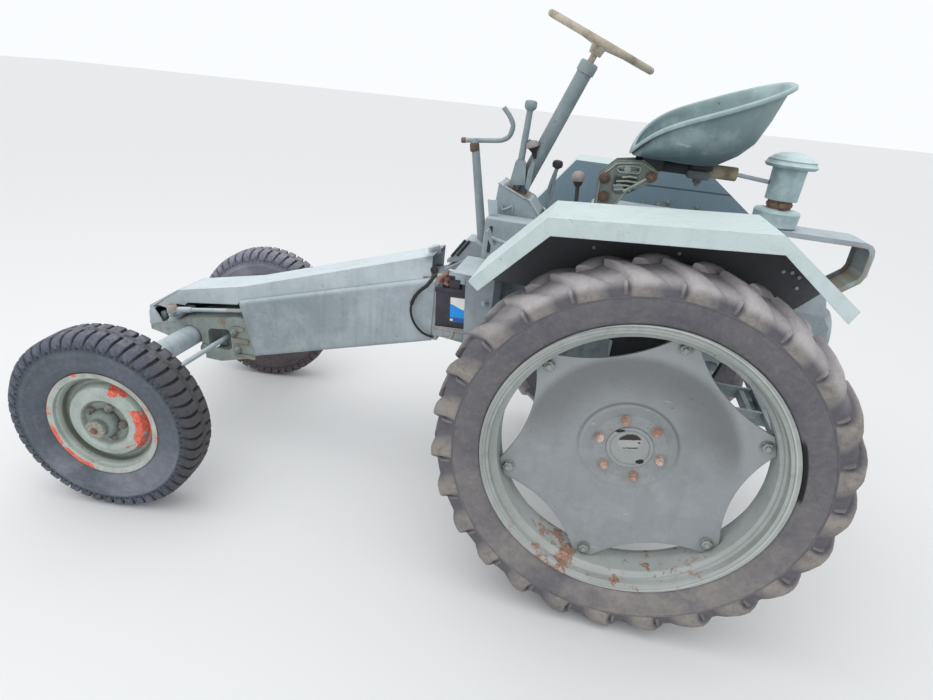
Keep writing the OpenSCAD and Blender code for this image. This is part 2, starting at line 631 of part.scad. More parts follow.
// Hand levers and pedals. Each lever is [foot, top, radius, knob radius].
module controls() color(cast_paint) placed() {
    levers = [
        [[-565, -30, 1381.5], [-554, -30, 1672], 8, 0],
        [[-438, 40, 1290.6], [-429, 40, 1486], 6, 13],
        [[-312, -80, 1124], [-339, -80, 1462], 7, 17],
        [[-511.9, -2, 1542], [-532.4, -2, 1550], 5, 0]];
    for (l = levers) {
        bar(l[0], l[1], l[2]);
        if (l[3] > 0) translate(l[1]) sphere(r = l[3], $fn = 32);
    }
    translate([-571, -38, 1668]) cube([34, 16, 26]);
    // The knob of the short lever on the column
    bar(levers[3][1], levers[3][1] + [-17, 0, 6.6], 11);
    // Pedals on cross shafts at the foot of the console
    for (y = [-250, 240, 310]) {
        rod([[-400, y, floor_z + 6.4], [-470, y, 1205], [-602, y, 1232]], 8);
        translate([-592, y - 28, 1206]) rotate([0, -30, 0]) cube([8, 56, 60]);
    }
}

// The hand crank ahead of the pedestal: a leaning post and a bent handle.
module lift_crank() color(cast_paint) placed() {
    bar([-668, 0, 1104], [-753, 0, 1542], 14);
    rod([[-800, 0, 1530], [-650, 0, 1548], [-622, 0, 1566], [-613, 0, 1604],
        [-630, 0, 1636], [-655, 0, 1662]], 7.5);
    translate([-666, 0, 1095]) cylinder(h = 30, r = 28);
}

// The pressed seat pan: a bowl that rises to the back.
module seat_bowl(lift, trim) hull() {
    translate([20, 0, 1568 + lift]) scale([seat_l / 4.2 - trim, seat_w / 3.6 - trim, 1])
        cylinder(h = 1, r = 1, $fn = 32);
    translate([28, 0, 1612 + lift]) rotate([0, -14, 0])
        scale([seat_l / 2.35 - trim, seat_w / 2.35 - trim, 1]) cylinder(h = 1, r = 1, $fn = 32);
    translate([58, 0, 1715 + lift]) rotate([0, -26, 0])
        scale([seat_l / 1.92 - trim, seat_w / 2 - trim, 1]) cylinder(h = 22 + lift, r = 1, $fn = 32);
}

module seat_pan() color(body_paint) placed() difference() {
    seat_bowl(0, 0);
    seat_bowl(4, 4);
}

// The seat's rocking bracket: two cheeks, a cross tube and the block under the pan.
module seat_bracket() color(cast_paint) placed() {
    cheek = [[-268, tank_top], [-272, 1478], [-214, 1536], [-122, 1550], [-62, 1515],
        [-70, 1484], [-160, 1425], [-200, tank_top]];
    for (side = [left, right]) for_side(side) difference() {
        slab(-62, -54) polygon(cheek);
        slab(-63, -53) {
            translate([-190, 1440]) circle(r = 20);
            translate([-205, 1494]) square([74, 24]);
        }
    }
    for (p = [[-246, 1472], [-237, 1408], [-86, 1497]])
        translate([p.x, 70, p.y]) rotate([90, 0, 0]) cylinder(h = 140, r = 11);
    translate([-140, 0, 1538]) rotate([0, 90, 0]) cylinder(h = 345, r = 22);
    translate([-110, -55, 1520]) cube([40, 110, 30]);
    translate([46, -45, 1516]) cube([66, 90, 49.6]);
    // The stay from the tube's end to the air cleaner's drum
    bar([200, 0, 1538], [318.2, 0, 1528], 5);
}

// The battery tips up to the rear with its tray. Their own frame starts at the lower front edge.
module on_tray() placed() translate([-768, -292, 856]) rotate([0, -3.5, 0]) children();

module battery() color("#1c1c20") {
    on_tray() {
        cube([200, 168, 160]);
        translate([-3, -2, 160]) cube([206, 171, 12]);
        translate([48, 8, 171]) cube([40, 40, 34]);
        translate([140, 130, 171]) cylinder(h = 22, r = 9);
    }
    // The front post in its clamp, and the hold-down plate
    placed() translate([-760, -270, 1026]) cube([30, 30, 52]);
    placed() translate([-731, -276, 1064]) cube([90, 12, 30]);
}

module battery_tray() color(cast_paint) on_tray() difference() {
    translate([-6, -8, -20]) cube([207, 182, 40]);
    translate([-3, -3, 0]) cube([220, 174, 40]);
    translate([25, 25, -30]) cube([150, 120, 60]);
}

// The earth cable: from the battery's clamp forward, down along the beam's side and back to the
// flange.
cable = [[-760.3, -256, 1062], [-776, -256, 1062], [-796, -250, 1058], [-820, -214, 1024],
    [-846, -178, 986], [-872, -158, 960], [-896, -146, 928], [-911, -141, 893], [-914, -140, 855],
    [-903, -139, 818], [-882, -139, 788], [-856, -138, 768], [-830, -134, 758], [-812, -128, 755]];
module battery_cable() color("#202022") placed() tube(curve(cable, 2), 5, 8);

front_beam();
beam_cover();
axle_bracket();
front_axle();
gearbox();
final_drives();
fuel_tank();
engine_block();
engine_duct();
exhaust();
air_cleaner();
rear_hood();
drawbar();
mudguard(left, 1428, 1472);  // mudguard_left
mudguard(right, 1474, 1474);  // mudguard_right
platform();
pedestal();
steering_column();
controls();
lift_crank();
seat_pan();
seat_bracket();
battery();
battery_tray();
battery_cable();
steering_wheel();
knuckle(left);  // knuckle_left
knuckle(right);  // knuckle_right
tie_rod();
steer_lever();
drag_link();
rear_hub(left);  // rear_hub_left
rear_hub(right);  // rear_hub_right
rear_disc(left);  // rear_disc_left
rear_disc(right);  // rear_disc_right
rear_rim(left);  // rear_rim_left
rear_rim(right);  // rear_rim_right
rear_tyre(left);  // rear_tyre_left
rear_tyre(right);  // rear_tyre_right
front_hub(left);  // front_hub_left
front_hub(right);  // front_hub_right
front_rim(left);  // front_rim_left
front_rim(right);  // front_rim_right
front_tyre(left);  // front_tyre_left
front_tyre(right);  // front_tyre_right
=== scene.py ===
import math
import random

import bmesh
import bpy
from mathutils import Matrix, Vector


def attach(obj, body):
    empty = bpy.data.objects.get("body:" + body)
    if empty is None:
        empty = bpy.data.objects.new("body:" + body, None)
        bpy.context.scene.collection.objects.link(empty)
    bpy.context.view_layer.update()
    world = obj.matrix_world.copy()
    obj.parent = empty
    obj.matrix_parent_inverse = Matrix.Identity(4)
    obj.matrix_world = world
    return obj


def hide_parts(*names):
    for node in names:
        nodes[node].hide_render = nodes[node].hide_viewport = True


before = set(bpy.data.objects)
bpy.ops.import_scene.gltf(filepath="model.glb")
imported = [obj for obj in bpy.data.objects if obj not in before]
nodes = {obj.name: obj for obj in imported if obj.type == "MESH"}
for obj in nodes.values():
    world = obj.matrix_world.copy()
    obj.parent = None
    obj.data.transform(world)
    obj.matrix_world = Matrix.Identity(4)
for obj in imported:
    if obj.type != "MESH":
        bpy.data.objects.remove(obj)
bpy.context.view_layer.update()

# Where the camera and tractor stand
# The camera stands beside the near rear wheel and looks a little forward and down. The body is laid
# out level, from the ground under the rear axle, and leans back onto its worn rear tyres.
camera = bpy.data.objects.new("camera", bpy.data.cameras.new("camera"))
bpy.context.scene.collection.objects.link(camera)
bpy.context.scene.camera = camera
camera.data.sensor_width = 36.0
camera.data.lens = 23.13
camera_spot = Vector((0.58732, -2.36551, 1.70692))
ahead = Vector((-0.16724, 0.89959, -0.40344)).normalized()
aside = ahead.cross(Vector((-0.17298, 0.37608, 0.91030))).normalized()
above = aside.cross(ahead)
camera.matrix_world = (Matrix.Translation(camera_spot)
                       @ Matrix((aside, above, -ahead)).transposed().to_4x4())

# In metres. The rear axle's x is the one before the body leans back, and its z the one after.
wheelbase = 1.977
rear_axle_x, rear_axle_z = 0.82595, 0.659
level_axle_z = 0.690
rear_sag = 0.030
lean = math.asin(rear_sag / wheelbase)
body_stand = (Matrix.Translation((rear_axle_x, 0, rear_axle_z - level_axle_z * math.cos(lean)))
              @ Matrix.Rotation(lean, 4, "Y"))


def stand(x, y, z):
    """Where a point of the level body, in metres, ends up on the leaning tractor."""
    return body_stand @ Vector((x, y, z))


def at(x, y, z):
    """The same for a point in millimetres."""
    return stand(x / 1000, y / 1000, z / 1000)


# Battery cable
# The earth lead: a taped black cable from the battery's clamp, round the beam's side and back to
# its flange. It is the one loose cord on the tractor.


class Wire:
    """A shader socket that takes part in sums. Each sum adds its Math node."""

    def __init__(self, tree, socket):
        self.tree, self.socket = tree, socket

    def add(self, kind, settings, sockets, out=0):
        """A node of any kind: its settings first, then the values or links of its sockets."""
        node = self.tree.nodes.new("ShaderNode" + kind)
        for key, value in settings.items():
            if key == "stops":
                ramp = node.color_ramp.elements
                while len(ramp) < len(value):
                    ramp.new(1.0)
                for stop, (place, tone) in zip(ramp, value):
                    stop.position, stop.color = place, tone
            else:
                setattr(node, key, value)
        for key, value in sockets.items():
            if isinstance(value, Wire):
                self.tree.links.new(value.socket, node.inputs[key])
            else:
                node.inputs[key].default_value = value
        return Wire(self.tree, node.outputs[out])

    def sum(self, operation, a, b=0.0):
        return self.add("Math", {"operation": operation}, {0: a, 1: b})

    def __add__(self, other):
        return self.sum("ADD", self, other)

    def __sub__(self, other):
        return self.sum("SUBTRACT", self, other)

    def __rsub__(self, other):
        return self.sum("SUBTRACT", other, self)

    def __mul__(self, other):
        return self.sum("MULTIPLY", self, other)

    __radd__, __rmul__ = __add__, __mul__

    def __pow__(self, other):
        return self.sum("POWER", self, other)

    def rise(self, low, high):
        """0 below low, 1 above high, and a smooth step between."""
        return self.add("MapRange", {"interpolation_type": "SMOOTHSTEP"},
                        {0: self, 1: low, 2: high})

    def tint(self, under, over):
        """The colour under, with over laid on where this mask is 1."""
        return self.add("Mix", {"data_type": "RGBA"}, {0: self, 6: under, 7: over}, out=2)

    def stretch(self, x, y, z):
        return self.add("VectorMath", {"operation": "MULTIPLY"}, {0: self, 1: (x, y, z)})

    def shift(self, x, y, z):
        return self.add("VectorMath", {"operation": "ADD"}, {0: self, 1: (x, y, z)})

    def part(self, axis):
        return self.add("SeparateXYZ", {}, {0: self}, out="XYZ".index(axis))

    def noise(self, scale, detail=4.0, rough=0.55, bend=0.0):
        return self.add("TexNoise", {}, {"Vector": self, "Scale": scale, "Detail": detail,
                                         "Roughness": rough, "Distortion": bend})


def hue(code):
    """A written sRGB colour as the shader's own linear one."""
    parts = [int(code[i:i + 2], 16) / 255 for i in (0, 2, 4)]
    linear = [p / 12.92 if p <= 0.04045 else ((p + 0.055) / 1.055) ** 2.4 for p in parts]
    return (*linear, 1.0)


class Finish:
    """A material in the making: its shader, the place on the piece and how far that faces up."""

    def __init__(self, name):
        self.material = bpy.data.materials.new(name)
        self.material.use_nodes = True
        self.tree = self.material.node_tree
        self.shader = self.tree.nodes["Principled BSDF"]
        spot = self.tree.nodes.new("ShaderNodeTexCoord")
        self.place = Wire(self.tree, spot.outputs["Object"])
        self.side = Wire(self.tree, spot.outputs["Normal"])
        self.facing = self.side.part("Z")
        self.edge_normal = None

    def set(self, **sockets):
        for key, value in sockets.items():
            socket = self.shader.inputs[key.replace("_", " ")]
            if isinstance(value, Wire):
                self.tree.links.new(value.socket, socket)
            else:
                socket.default_value = value

    def worn_edges(self, radius):
        """Rounds the look of sharp edges, and gives a mask that is 1 along them."""
        self.edge_normal = self.place.add("Bevel", {"samples": 4}, {"Radius": radius})
        flat = Wire(self.tree, self.tree.nodes.new("ShaderNodeNewGeometry").outputs["Normal"])
        same = self.place.add("VectorMath", {"operation": "DOT_PRODUCT"},
                              {0: self.edge_normal, 1: flat}, out=1)
        return (1.0 - same).rise(0.015, 0.12)

    def crevice(self, distance):
        """1 deep in corners and under what lies close, 0 in the open."""
        open_air = self.place.add("AmbientOcclusion", {"samples": 5}, {"Distance": distance}, out=1)
        return (1.0 - open_air).rise(0.25, 0.85)

    def painted(self, layer):
        """A value that the mesh carries on its points."""
        return self.place.add("Attribute", {"attribute_name": layer}, {}, out=2)

    def patch(self, x, z, wide, high, soft=3.0):
        """1 in a rectangle seen from the side, in millimetres of the level body."""
        spot = at(x, 0, z)
        dx = self.place.sum("ABSOLUTE", self.place.part("X") - spot.x)
        dz = self.place.sum("ABSOLUTE", self.place.part("Z") - spot.z)
        return ((1.0 - dx.rise((wide / 2 - soft) / 1000, (wide / 2 + soft) / 1000))
                * (1.0 - dz.rise((high / 2 - soft) / 1000, (high / 2 + soft) / 1000)))

    def relief(self, height, distance):
        """Bumps over the rounded edges, where there are any."""
        sockets = {"Height": height, "Distance": distance}
        if self.edge_normal:
            sockets["Normal"] = self.edge_normal
        self.set(Normal=self.place.add("Bump", {}, sockets))


def plain(name, tone, dusty, rough, grain=300.0, depth=0.0004, dust=0.5):
    """A simple mottled finish: a tone with a second, dustier one laid over it in patches."""
    made = Finish(name)
    patches = made.place.noise(14.0, 5.0, 0.6)
    fine = made.place.noise(grain, 3.0)
    mask = (patches.rise(0.42, 0.68) * dust + fine.rise(0.5, 0.75) * 0.25)
    made.set(Base_Color=mask.tint(hue(tone), hue(dusty)), Roughness=mask * 0.25 + rough)
    made.relief(fine + patches * 0.5, depth)
    return made.material


def smooth_line(points, steps):
    """Points along a smooth curve through the given ones, so many to each stretch."""
    line = []
    for i in range(len(points) - 1):
        a, b = points[max(i - 1, 0)], points[i]
        c, d = points[i + 1], points[min(i + 2, len(points) - 1)]
        for k in range(steps):
            t = k / steps
            line.append(b + t * (c - a) / 2 + t * t * (a - 2.5 * b + 2 * c - d / 2)
                        + t * t * t * (1.5 * b - 1.5 * c + (d - a) / 2))
    return line + [points[-1]]


def finish_piece(piece, material, body, slot, *replaced):
    """What every added piece gets: its finish and the body it rides on; the nodes it replaces are
    hidden. Its slot is not used.
    """
    piece.data.materials.append(material)
    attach(piece, body)
    if replaced:
        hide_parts(*replaced)
    return piece


def round_cord(name, points, radius, material, body, slot, *replaced):
    """A round cord along points."""
    curve = bpy.data.curves.new(name, "CURVE")
    curve.dimensions = "3D"
    curve.bevel_depth = radius
    curve.bevel_resolution = 3
    curve.use_fill_caps = True
    spline = curve.splines.new("POLY")
    spline.points.add(len(points) - 1)
    for place, point in zip(spline.points, points):
        place.co = (*point, 1.0)
    spline.use_smooth = True
    piece = bpy.data.objects.new(name, curve)
    bpy.context.scene.collection.objects.link(piece)
    return finish_piece(piece, material, body, slot, *replaced)


cable_route = [(-760.3, -256, 1062), (-776, -256, 1062), (-796, -250, 1058), (-820, -214, 1024),
               (-846, -178, 986), (-872, -158, 960), (-896, -146, 928), (-911, -141, 893),
               (-914, -140, 855), (-903, -139, 818), (-882, -139, 788), (-856, -138, 768),
               (-830, -134, 758), (-812, -128, 755)]
cable_line = smooth_line([at(*p) for p in cable_route], 4)
cable_tape = plain("taped_cable", "232226", "56514c", 0.62, grain=700.0, dust=0.35)
cable_radius = 0.005
cable = round_cord("battery_lead", cable_line, cable_radius, cable_tape, "chassis", "cable_cover",
                   "battery_cable")
sum((b - a).length for a, b in zip(cable_line, cable_line[1:]))

# Beam, platform and engine duct
# Welded and folded sheet in old grey-green paint, chalky in patches, with dirt, small rust specks,
# scratches and bare edges. Faces that point up are painted paler and bluish as a painted highlight,
# and faces that point down and the hollows are painted darker as painted shade.


def paint(name, tone="a3afb5", sky="bdc9ce", shade="8b979c", specks=1.0, darkening=0.4, gloss=0.46,
          edge="c3c9c4", wear=0.5, under=None):
    """Old paint. under is a function that lays one piece's own marks over it."""
    made = Finish(name)
    wide = made.place.noise(1.7, 3.0)
    cloudy = made.place.noise(7.0, 6.0, 0.62)
    blotch = made.place.shift(7.7, 3.1, 5.9).noise(19.0, 5.0, 0.6)
    fine = made.place.noise(110.0, 4.0, 0.62)
    runs = made.place.stretch(24, 24, 2.0).noise(1.0, 4.0, 0.6)
    edges = made.worn_edges(0.0035)
    # The crevice mask is for painted shade: darker in corners and under what lies close
    corners = made.crevice(0.05)
    colour = (wide.rise(0.32, 0.68) * 0.8).tint(hue(tone), hue(shade))
    colour = (cloudy.rise(0.42, 0.66) * 0.5).tint(colour, hue(sky))
    # Faces that point up are painted in the sky colour: a painted highlight
    colour = (made.facing.rise(0.2, 0.9) * (0.4 + 0.5 * cloudy)).tint(colour, hue(sky))
    colour = (blotch.rise(0.52, 0.72) * 0.5 * darkening).tint(colour, hue("6b706c"))
    # Dirt in runs and specks, with painted shade on faces that point down and in corners; darkening
    # sets how strong
    dirt_and_shade = ((1.0 - made.facing.rise(-0.9, 0.0)) * 0.3 + runs.rise(0.5, 0.75) * 0.35
            + fine.rise(0.54, 0.72) * 0.4) * darkening + corners * (0.35 + 0.5 * darkening)
    colour = dirt_and_shade.tint(colour, hue("55534b"))
    streaks = made.place.shift(3.1, 1.7, 0.4).stretch(7, 70, 55).noise(1.0, 5.0, 0.65)
    scratches = streaks.rise(0.66, 0.70) * cloudy.rise(0.48, 0.6) * 0.6
    colour = scratches.tint(colour, hue("d5dbd9"))
    frayed = fine.rise(0.36, 0.6) * made.place.noise(5.5, 3.0).rise(0.40, 0.6)
    colour = (edges * frayed * wear).tint(colour, hue(edge))
    spots = made.place.noise(42.0, 6.0, 0.72)
    chips = (spots.rise(0.665 - 0.02 * specks, 0.70)
             * made.place.shift(5, 2, 9).noise(3.4, 2.0).rise(0.46, 0.6))
    nicks = (edges * spots.rise(0.54, 0.6)
             * made.place.shift(1, 8, 2).noise(9.0, 3.0).rise(0.5, 0.62))
    bare = (chips + nicks * 0.9) * min(specks, 1.0)
    rust = fine.rise(0.35, 0.65).tint(hue("543a2c"), hue("96694a"))
    colour = bare.tint(colour, rust)
    if under:
        colour, bare = under(made, colour, bare, fine)
    made.set(Base_Color=colour, Roughness=gloss + 0.14 * cloudy + 0.25 * (dirt_and_shade + bare))
    made.relief(cloudy * 0.8 + fine * 0.25 - bare * 0.5, 0.0012)
    return made.material


def dress(material, *names):
    """Gives the material to nodes that keep their own shape."""
    for name in names:
        for slot in nodes[name].material_slots:
            slot.material = material


sheet_paint = paint("sheet_paint")
dress(sheet_paint, "front_beam", "platform", "engine_duct")

# Beam cover
# One long folded sheet lies over the beam and hides the drag link. It is paler than the rest, with
# a rusty scrape and grime at its rear end.


def cover_marks(made, colour, bare, fine):
    """The scrape and the grime at the cover's rear end."""
    rusty = fine.rise(0.3, 0.7).tint(hue("6b4a38"), hue("a5785a"))
    scrape = made.patch(-862, 993, 44, 16, 7.0) + made.patch(-838, 1052, 12, 30, 5.0) * 0.7
    colour = (scrape * fine.rise(0.25, 0.5)).tint(colour, rusty)
    darkening = made.patch(-850, 1085, 60, 36, 16.0) * 0.55
    return darkening.tint(colour, hue("3a3a38")), bare


cover_paint = paint("cover_paint", tone="c3d0d5", sky="d2dde1", shade="a9b5ba", darkening=0.3,
                    specks=1.2, under=cover_marks)
dress(cover_paint, "beam_cover")

# Rear hood
# A strap of sheet with turned edges, bent over the engine from front to back and open at both
# sides. Inside its rear upright it is olive with rust, and so is the edge of its top.


def hood_marks(made, colour, bare, fine):
    """The rust inside the upright and along the edge of the top."""
    inside = made.patch(684, 1268, 26, 150, 8.0) + made.patch(655, 1205, 50, 40, 8.0)
    inside = inside * (1.0 - made.side.part("X").rise(-0.2, 0.3))
    olive = made.place.noise(26.0, 5.0, 0.7).rise(0.45, 0.6).tint(hue("74754a"), hue("96633a"))
    colour = (inside * 0.8).tint(colour, olive)
    rim = made.patch(480, 1361, 400, 6, 4.0) * made.place.noise(30.0, 6.0, 0.75).rise(0.46, 0.56)
    return (rim * 0.8).tint(colour, fine.tint(hue("8a5f4c"), hue("c49a88"))), bare


hood_paint = paint("hood_paint", under=hood_marks)
dress(hood_paint, "rear_hood")

# Pedestal and steering column
# A welded sheet box carries the column's tube on its sloped top, which is rusty and oily round the
# column's foot. The column's paint is darker.


def pedestal_marks(made, colour, bare, fine):
    """Rust and oil on the sloped top."""
    top = made.facing.rise(0.55, 0.8) * made.patch(-560, 1385, 96, 90, 8.0)
    rusty = fine.rise(0.35, 0.65).tint(hue("4b3f33"), hue("8c7250"))
    return (top * 0.9).tint(colour, rusty), bare


pedestal_paint = paint("pedestal_paint", under=pedestal_marks)
dress(pedestal_paint, "pedestal")
column_paint = paint("column_paint", tone="8d9ba0", sky="a3b0b4", shade="76858a", darkening=0.5)
dress(column_paint, "steering_column")

# Fuel tank and air cleaner
# Pressed and soldered sheet. The tank under the hood is bluish and in shade, and the cleaner's cap
# is painted near white where it faces up, as a painted highlight.
tank_paint = paint("tank_paint", tone="a9bcc7", sky="c8d4d8", shade="8fa1ad")
dress(tank_paint, "fuel_tank")
cleaner_paint = paint("cleaner_paint", tone="a6bdc1", sky="ecffff", shade="8ea6aa", darkening=0.3)
dress(cleaner_paint, "air_cleaner")

# Mudguards
# Bent from flat sheet in straight folds, with an inner panel on the driver's side. Their paint is
# the palest on the tractor.


def guard_muck_and_shade(made, colour, bare, fine):
    """Under the mudguards, on the wheel's side of the sheet, the paint is near black: muck, and
    painted shade.
    """
    side = made.place.part("Y")
    outward = made.side.part("Y") * side
    inner = (outward.rise(0.05, 0.15) * (1.0 - (side * side).rise(0.22, 0.25)))
    dark = (1.0 - made.facing.rise(-0.45, -0.2)) + inner
    # The panels' faces toward the driver are bluish, and a crease in them is drawn as a dark line
    # of painted shade
    near_driver = (1.0 - (side * side).rise(0.22, 0.25)) * (1.0 - outward.rise(-0.15, -0.05))
    colour = (near_driver * 0.9).tint(colour, fine.tint(hue("66808f"), hue("8299a8")))
    crease = made.patch(73, 1411, 489, 7, 1.5) * near_driver
    colour = (crease * 0.8).tint(colour, hue("36434a"))
    return (dark * 0.96).tint(colour, fine.tint(hue("2c2d33"), hue("4c4d54"))), bare


guard_paint = paint("guard_paint", tone="c4d3d3", sky="ccdad9", shade="b0bdbe", darkening=0.25,
                    under=guard_muck_and_shade)
dress(guard_paint, "mudguard_left", "mudguard_right")

# Seat bracket
# Two cast cheeks stand on the tank's top and carry the seat on its springs. They are olive with
# oil and dirt.


def seat_bracket_marks(made, colour, bare, fine):
    """Painted shade: the bracket is dark behind its springs and in its slot."""
    hollow = made.patch(-172, 1459, 82, 56, 8.0) + made.patch(-168, 1510, 60, 16, 3.0)
    return (hollow * 0.9).tint(colour, hue("2b2d2c")), bare


seat_iron = paint("seat_iron", tone="87928c", sky="98a39b", shade="6f7a74", specks=1.8, darkening=0.9,
                  gloss=0.55, under=seat_bracket_marks)
dress(seat_iron, "seat_bracket")

# Castings and small forgings
# Gearbox, final drives, engine, hubs and knuckles are rough castings under a thick, dirty coat of
# the same paint, with strong painted shade underneath and in corners. The levers, the crank, the
# drawbar and the battery's tray look much the same.
cast_paint = paint("cast_paint", tone="98a5a9", sky="b2bec2", shade="79858a", specks=1.6,
                   darkening=0.8, gloss=0.58, wear=0.65)
dress(cast_paint, "gearbox", "final_drives", "engine_block", "drawbar", "controls",
      "lift_crank", "battery_tray", "knuckle_left", "knuckle_right",
      "rear_hub_left", "rear_hub_right", "front_hub_left", "front_hub_right")

# Front bracket
# A greenish casting in the beam's mouth, which the front axle swings on. Rust has run down it from
# the drag link and along its lower edge.


def axle_bracket_marks(made, colour, bare, fine):
    """The two runs of rust."""
    run = made.patch(-1810, 625, 26, 34, 16.0) + made.patch(-1930, 392, 110, 10, 9.0) * 0.7
    return (run * fine.rise(0.3, 0.5) * 0.75).tint(colour, hue("9a6a4a")), bare


bracket_paint = paint("bracket_paint", tone="a4b0ab", sky="bac6c2", shade="86918d", specks=1.6,
                      darkening=0.8, gloss=0.58, wear=0.65, under=axle_bracket_marks)
dress(bracket_paint, "axle_bracket")

# Front axle and steering rods
# The axle is a steel tube, and the tie rod, lever and drag link are steel bars, all in paler paint.
# The drag link has rusted through its paint behind the ball and further along.
rod_paint = paint("rod_paint", tone="b4c4cc", sky="ccd6da", shade="94a4ab", specks=1.8, darkening=0.5,
                  wear=0.7)
dress(rod_paint, "front_axle", "tie_rod", "steer_lever")


def link_marks(made, colour, bare, fine):
    """Rust on the upper side of the drag link."""
    rust = made.patch(-2030, 655, 50, 50, 9.0) + made.patch(-1750, 690, 60, 40, 12.0) * 0.6
    rust = rust * made.facing.rise(-0.4, 0.5) * fine.rise(0.2, 0.45)
    return rust.tint(colour, fine.rise(0.35, 0.65).tint(hue("6b5238"), hue("a3835f"))), bare


link_paint = paint("link_paint", tone="b4c4cc", sky="ccd6da", shade="94a4ab", specks=1.8,
                   darkening=0.5, wear=0.7, under=link_marks)
dress(link_paint, "drag_link")

# Exhaust
# Pipes from both cylinders lead into a round silencer on the engine's right side. They are bare
# steel, which the heat has turned brown with rust all over.
rusty_pipe = plain("rusty_pipe", "4c3d34", "7a5138", 0.72, grain=180.0, depth=0.001)
dress(rusty_pipe, "exhaust")

# Rear wheels
# Steel rims with bolted six-pointed discs, and worn field tyres with swept lugs that run down onto
# the shoulders. The rubber is grey with dried mud. Hub nuts are bare and rusty.


def wheel_place(side, x, y, z, turn=0.0):
    """From a wheel's own frame, where Z points out of the tractor, to its place."""
    outward = Matrix.Rotation(math.radians(90 if side == "left" else -90), 4, "X")
    return (body_stand @ Matrix.Translation((x, y, z)) @ Matrix.Rotation(math.radians(turn), 4, "Z")
            @ outward)


def skin(mesh, rings, closed=False):
    """Faces from ring to ring of points, with the two ends capped unless it is closed."""
    rows = [[mesh.verts.new(point) for point in ring] for ring in rings]
    for a, b in zip(rows, rows[1:] + (rows[:1] if closed else [])):
        for k in range(len(a)):
            n = (k + 1) % len(a)
            mesh.faces.new((a[k], a[n], b[n], b[k]))
    if not closed:
        mesh.faces.new(rows[0][::-1])
        mesh.faces.new(rows[-1])


def turned(mesh, stations, sides, place=Matrix(), closed=False, phase=0.0):
    """Turns [radius, height] stations about place's Z axis."""
    skin(mesh, [[place @ Vector((r * math.cos(phase + math.tau * k / sides),
                                 r * math.sin(phase + math.tau * k / sides), h))
                 for k in range(sides)] for r, h in stations], closed)


def build(name, mesh, material, body, slot, *replaced, place=None, sharp=38.0):
    """Makes the mesh an object with smooth faces and crisp edges."""
    bmesh.ops.recalc_face_normals(mesh, faces=mesh.faces)
    for face in mesh.faces:
        face.smooth = True
    data = bpy.data.meshes.new(name)
    mesh.to_mesh(data)
    mesh.free()
    data.set_sharp_from_angle(angle=math.radians(sharp))
    piece = bpy.data.objects.new(name, data)
    bpy.context.scene.collection.objects.link(piece)
    if place is not None:
        piece.matrix_world = place
    return finish_piece(piece, material, body, slot, *replaced)


def ribs(mesh, stations, across, count, phase, hand, outer, dusty=1.0):
    """Tread bars. Stations are [radius, out, turn, height, lead, width], from the middle of the
    tread outwards: turn is how far the bar leans from pointing outwards to pointing sideways, and
    lead is how far its front edge runs ahead. across holds [share of width, share of height]."""
    dust = mesh.verts.layers.float.get("dust") or mesh.verts.layers.float.new("dust")
    for k in range(count):
        middle = math.radians(phase) + math.tau * k / count
        wear = random.uniform(0.90, 1.0)
        rows = []
        for radius, out, turn, height, lead, width in stations:
            a = math.radians(turn)
            row = []
            for w, h in across:
                r = radius + h * height * wear * math.cos(a)
                z = out + h * height * wear * math.sin(a)
                angle = hand * (middle + (lead - w * width) / radius)
                point = mesh.verts.new((r * math.cos(angle), r * math.sin(angle), outer * z))
                point[dust] = dusty * min(max(h * 1.6 - 0.6, 0.0), 1.0)
                row.append(point)
            rows.append(row)
        for a, b in zip(rows, rows[1:]):
            for i in range(len(across) - 1):
                mesh.faces.new((a[i], a[i + 1], b[i + 1], b[i]))
        mesh.faces.new(rows[0])
        mesh.faces.new(rows[-1])


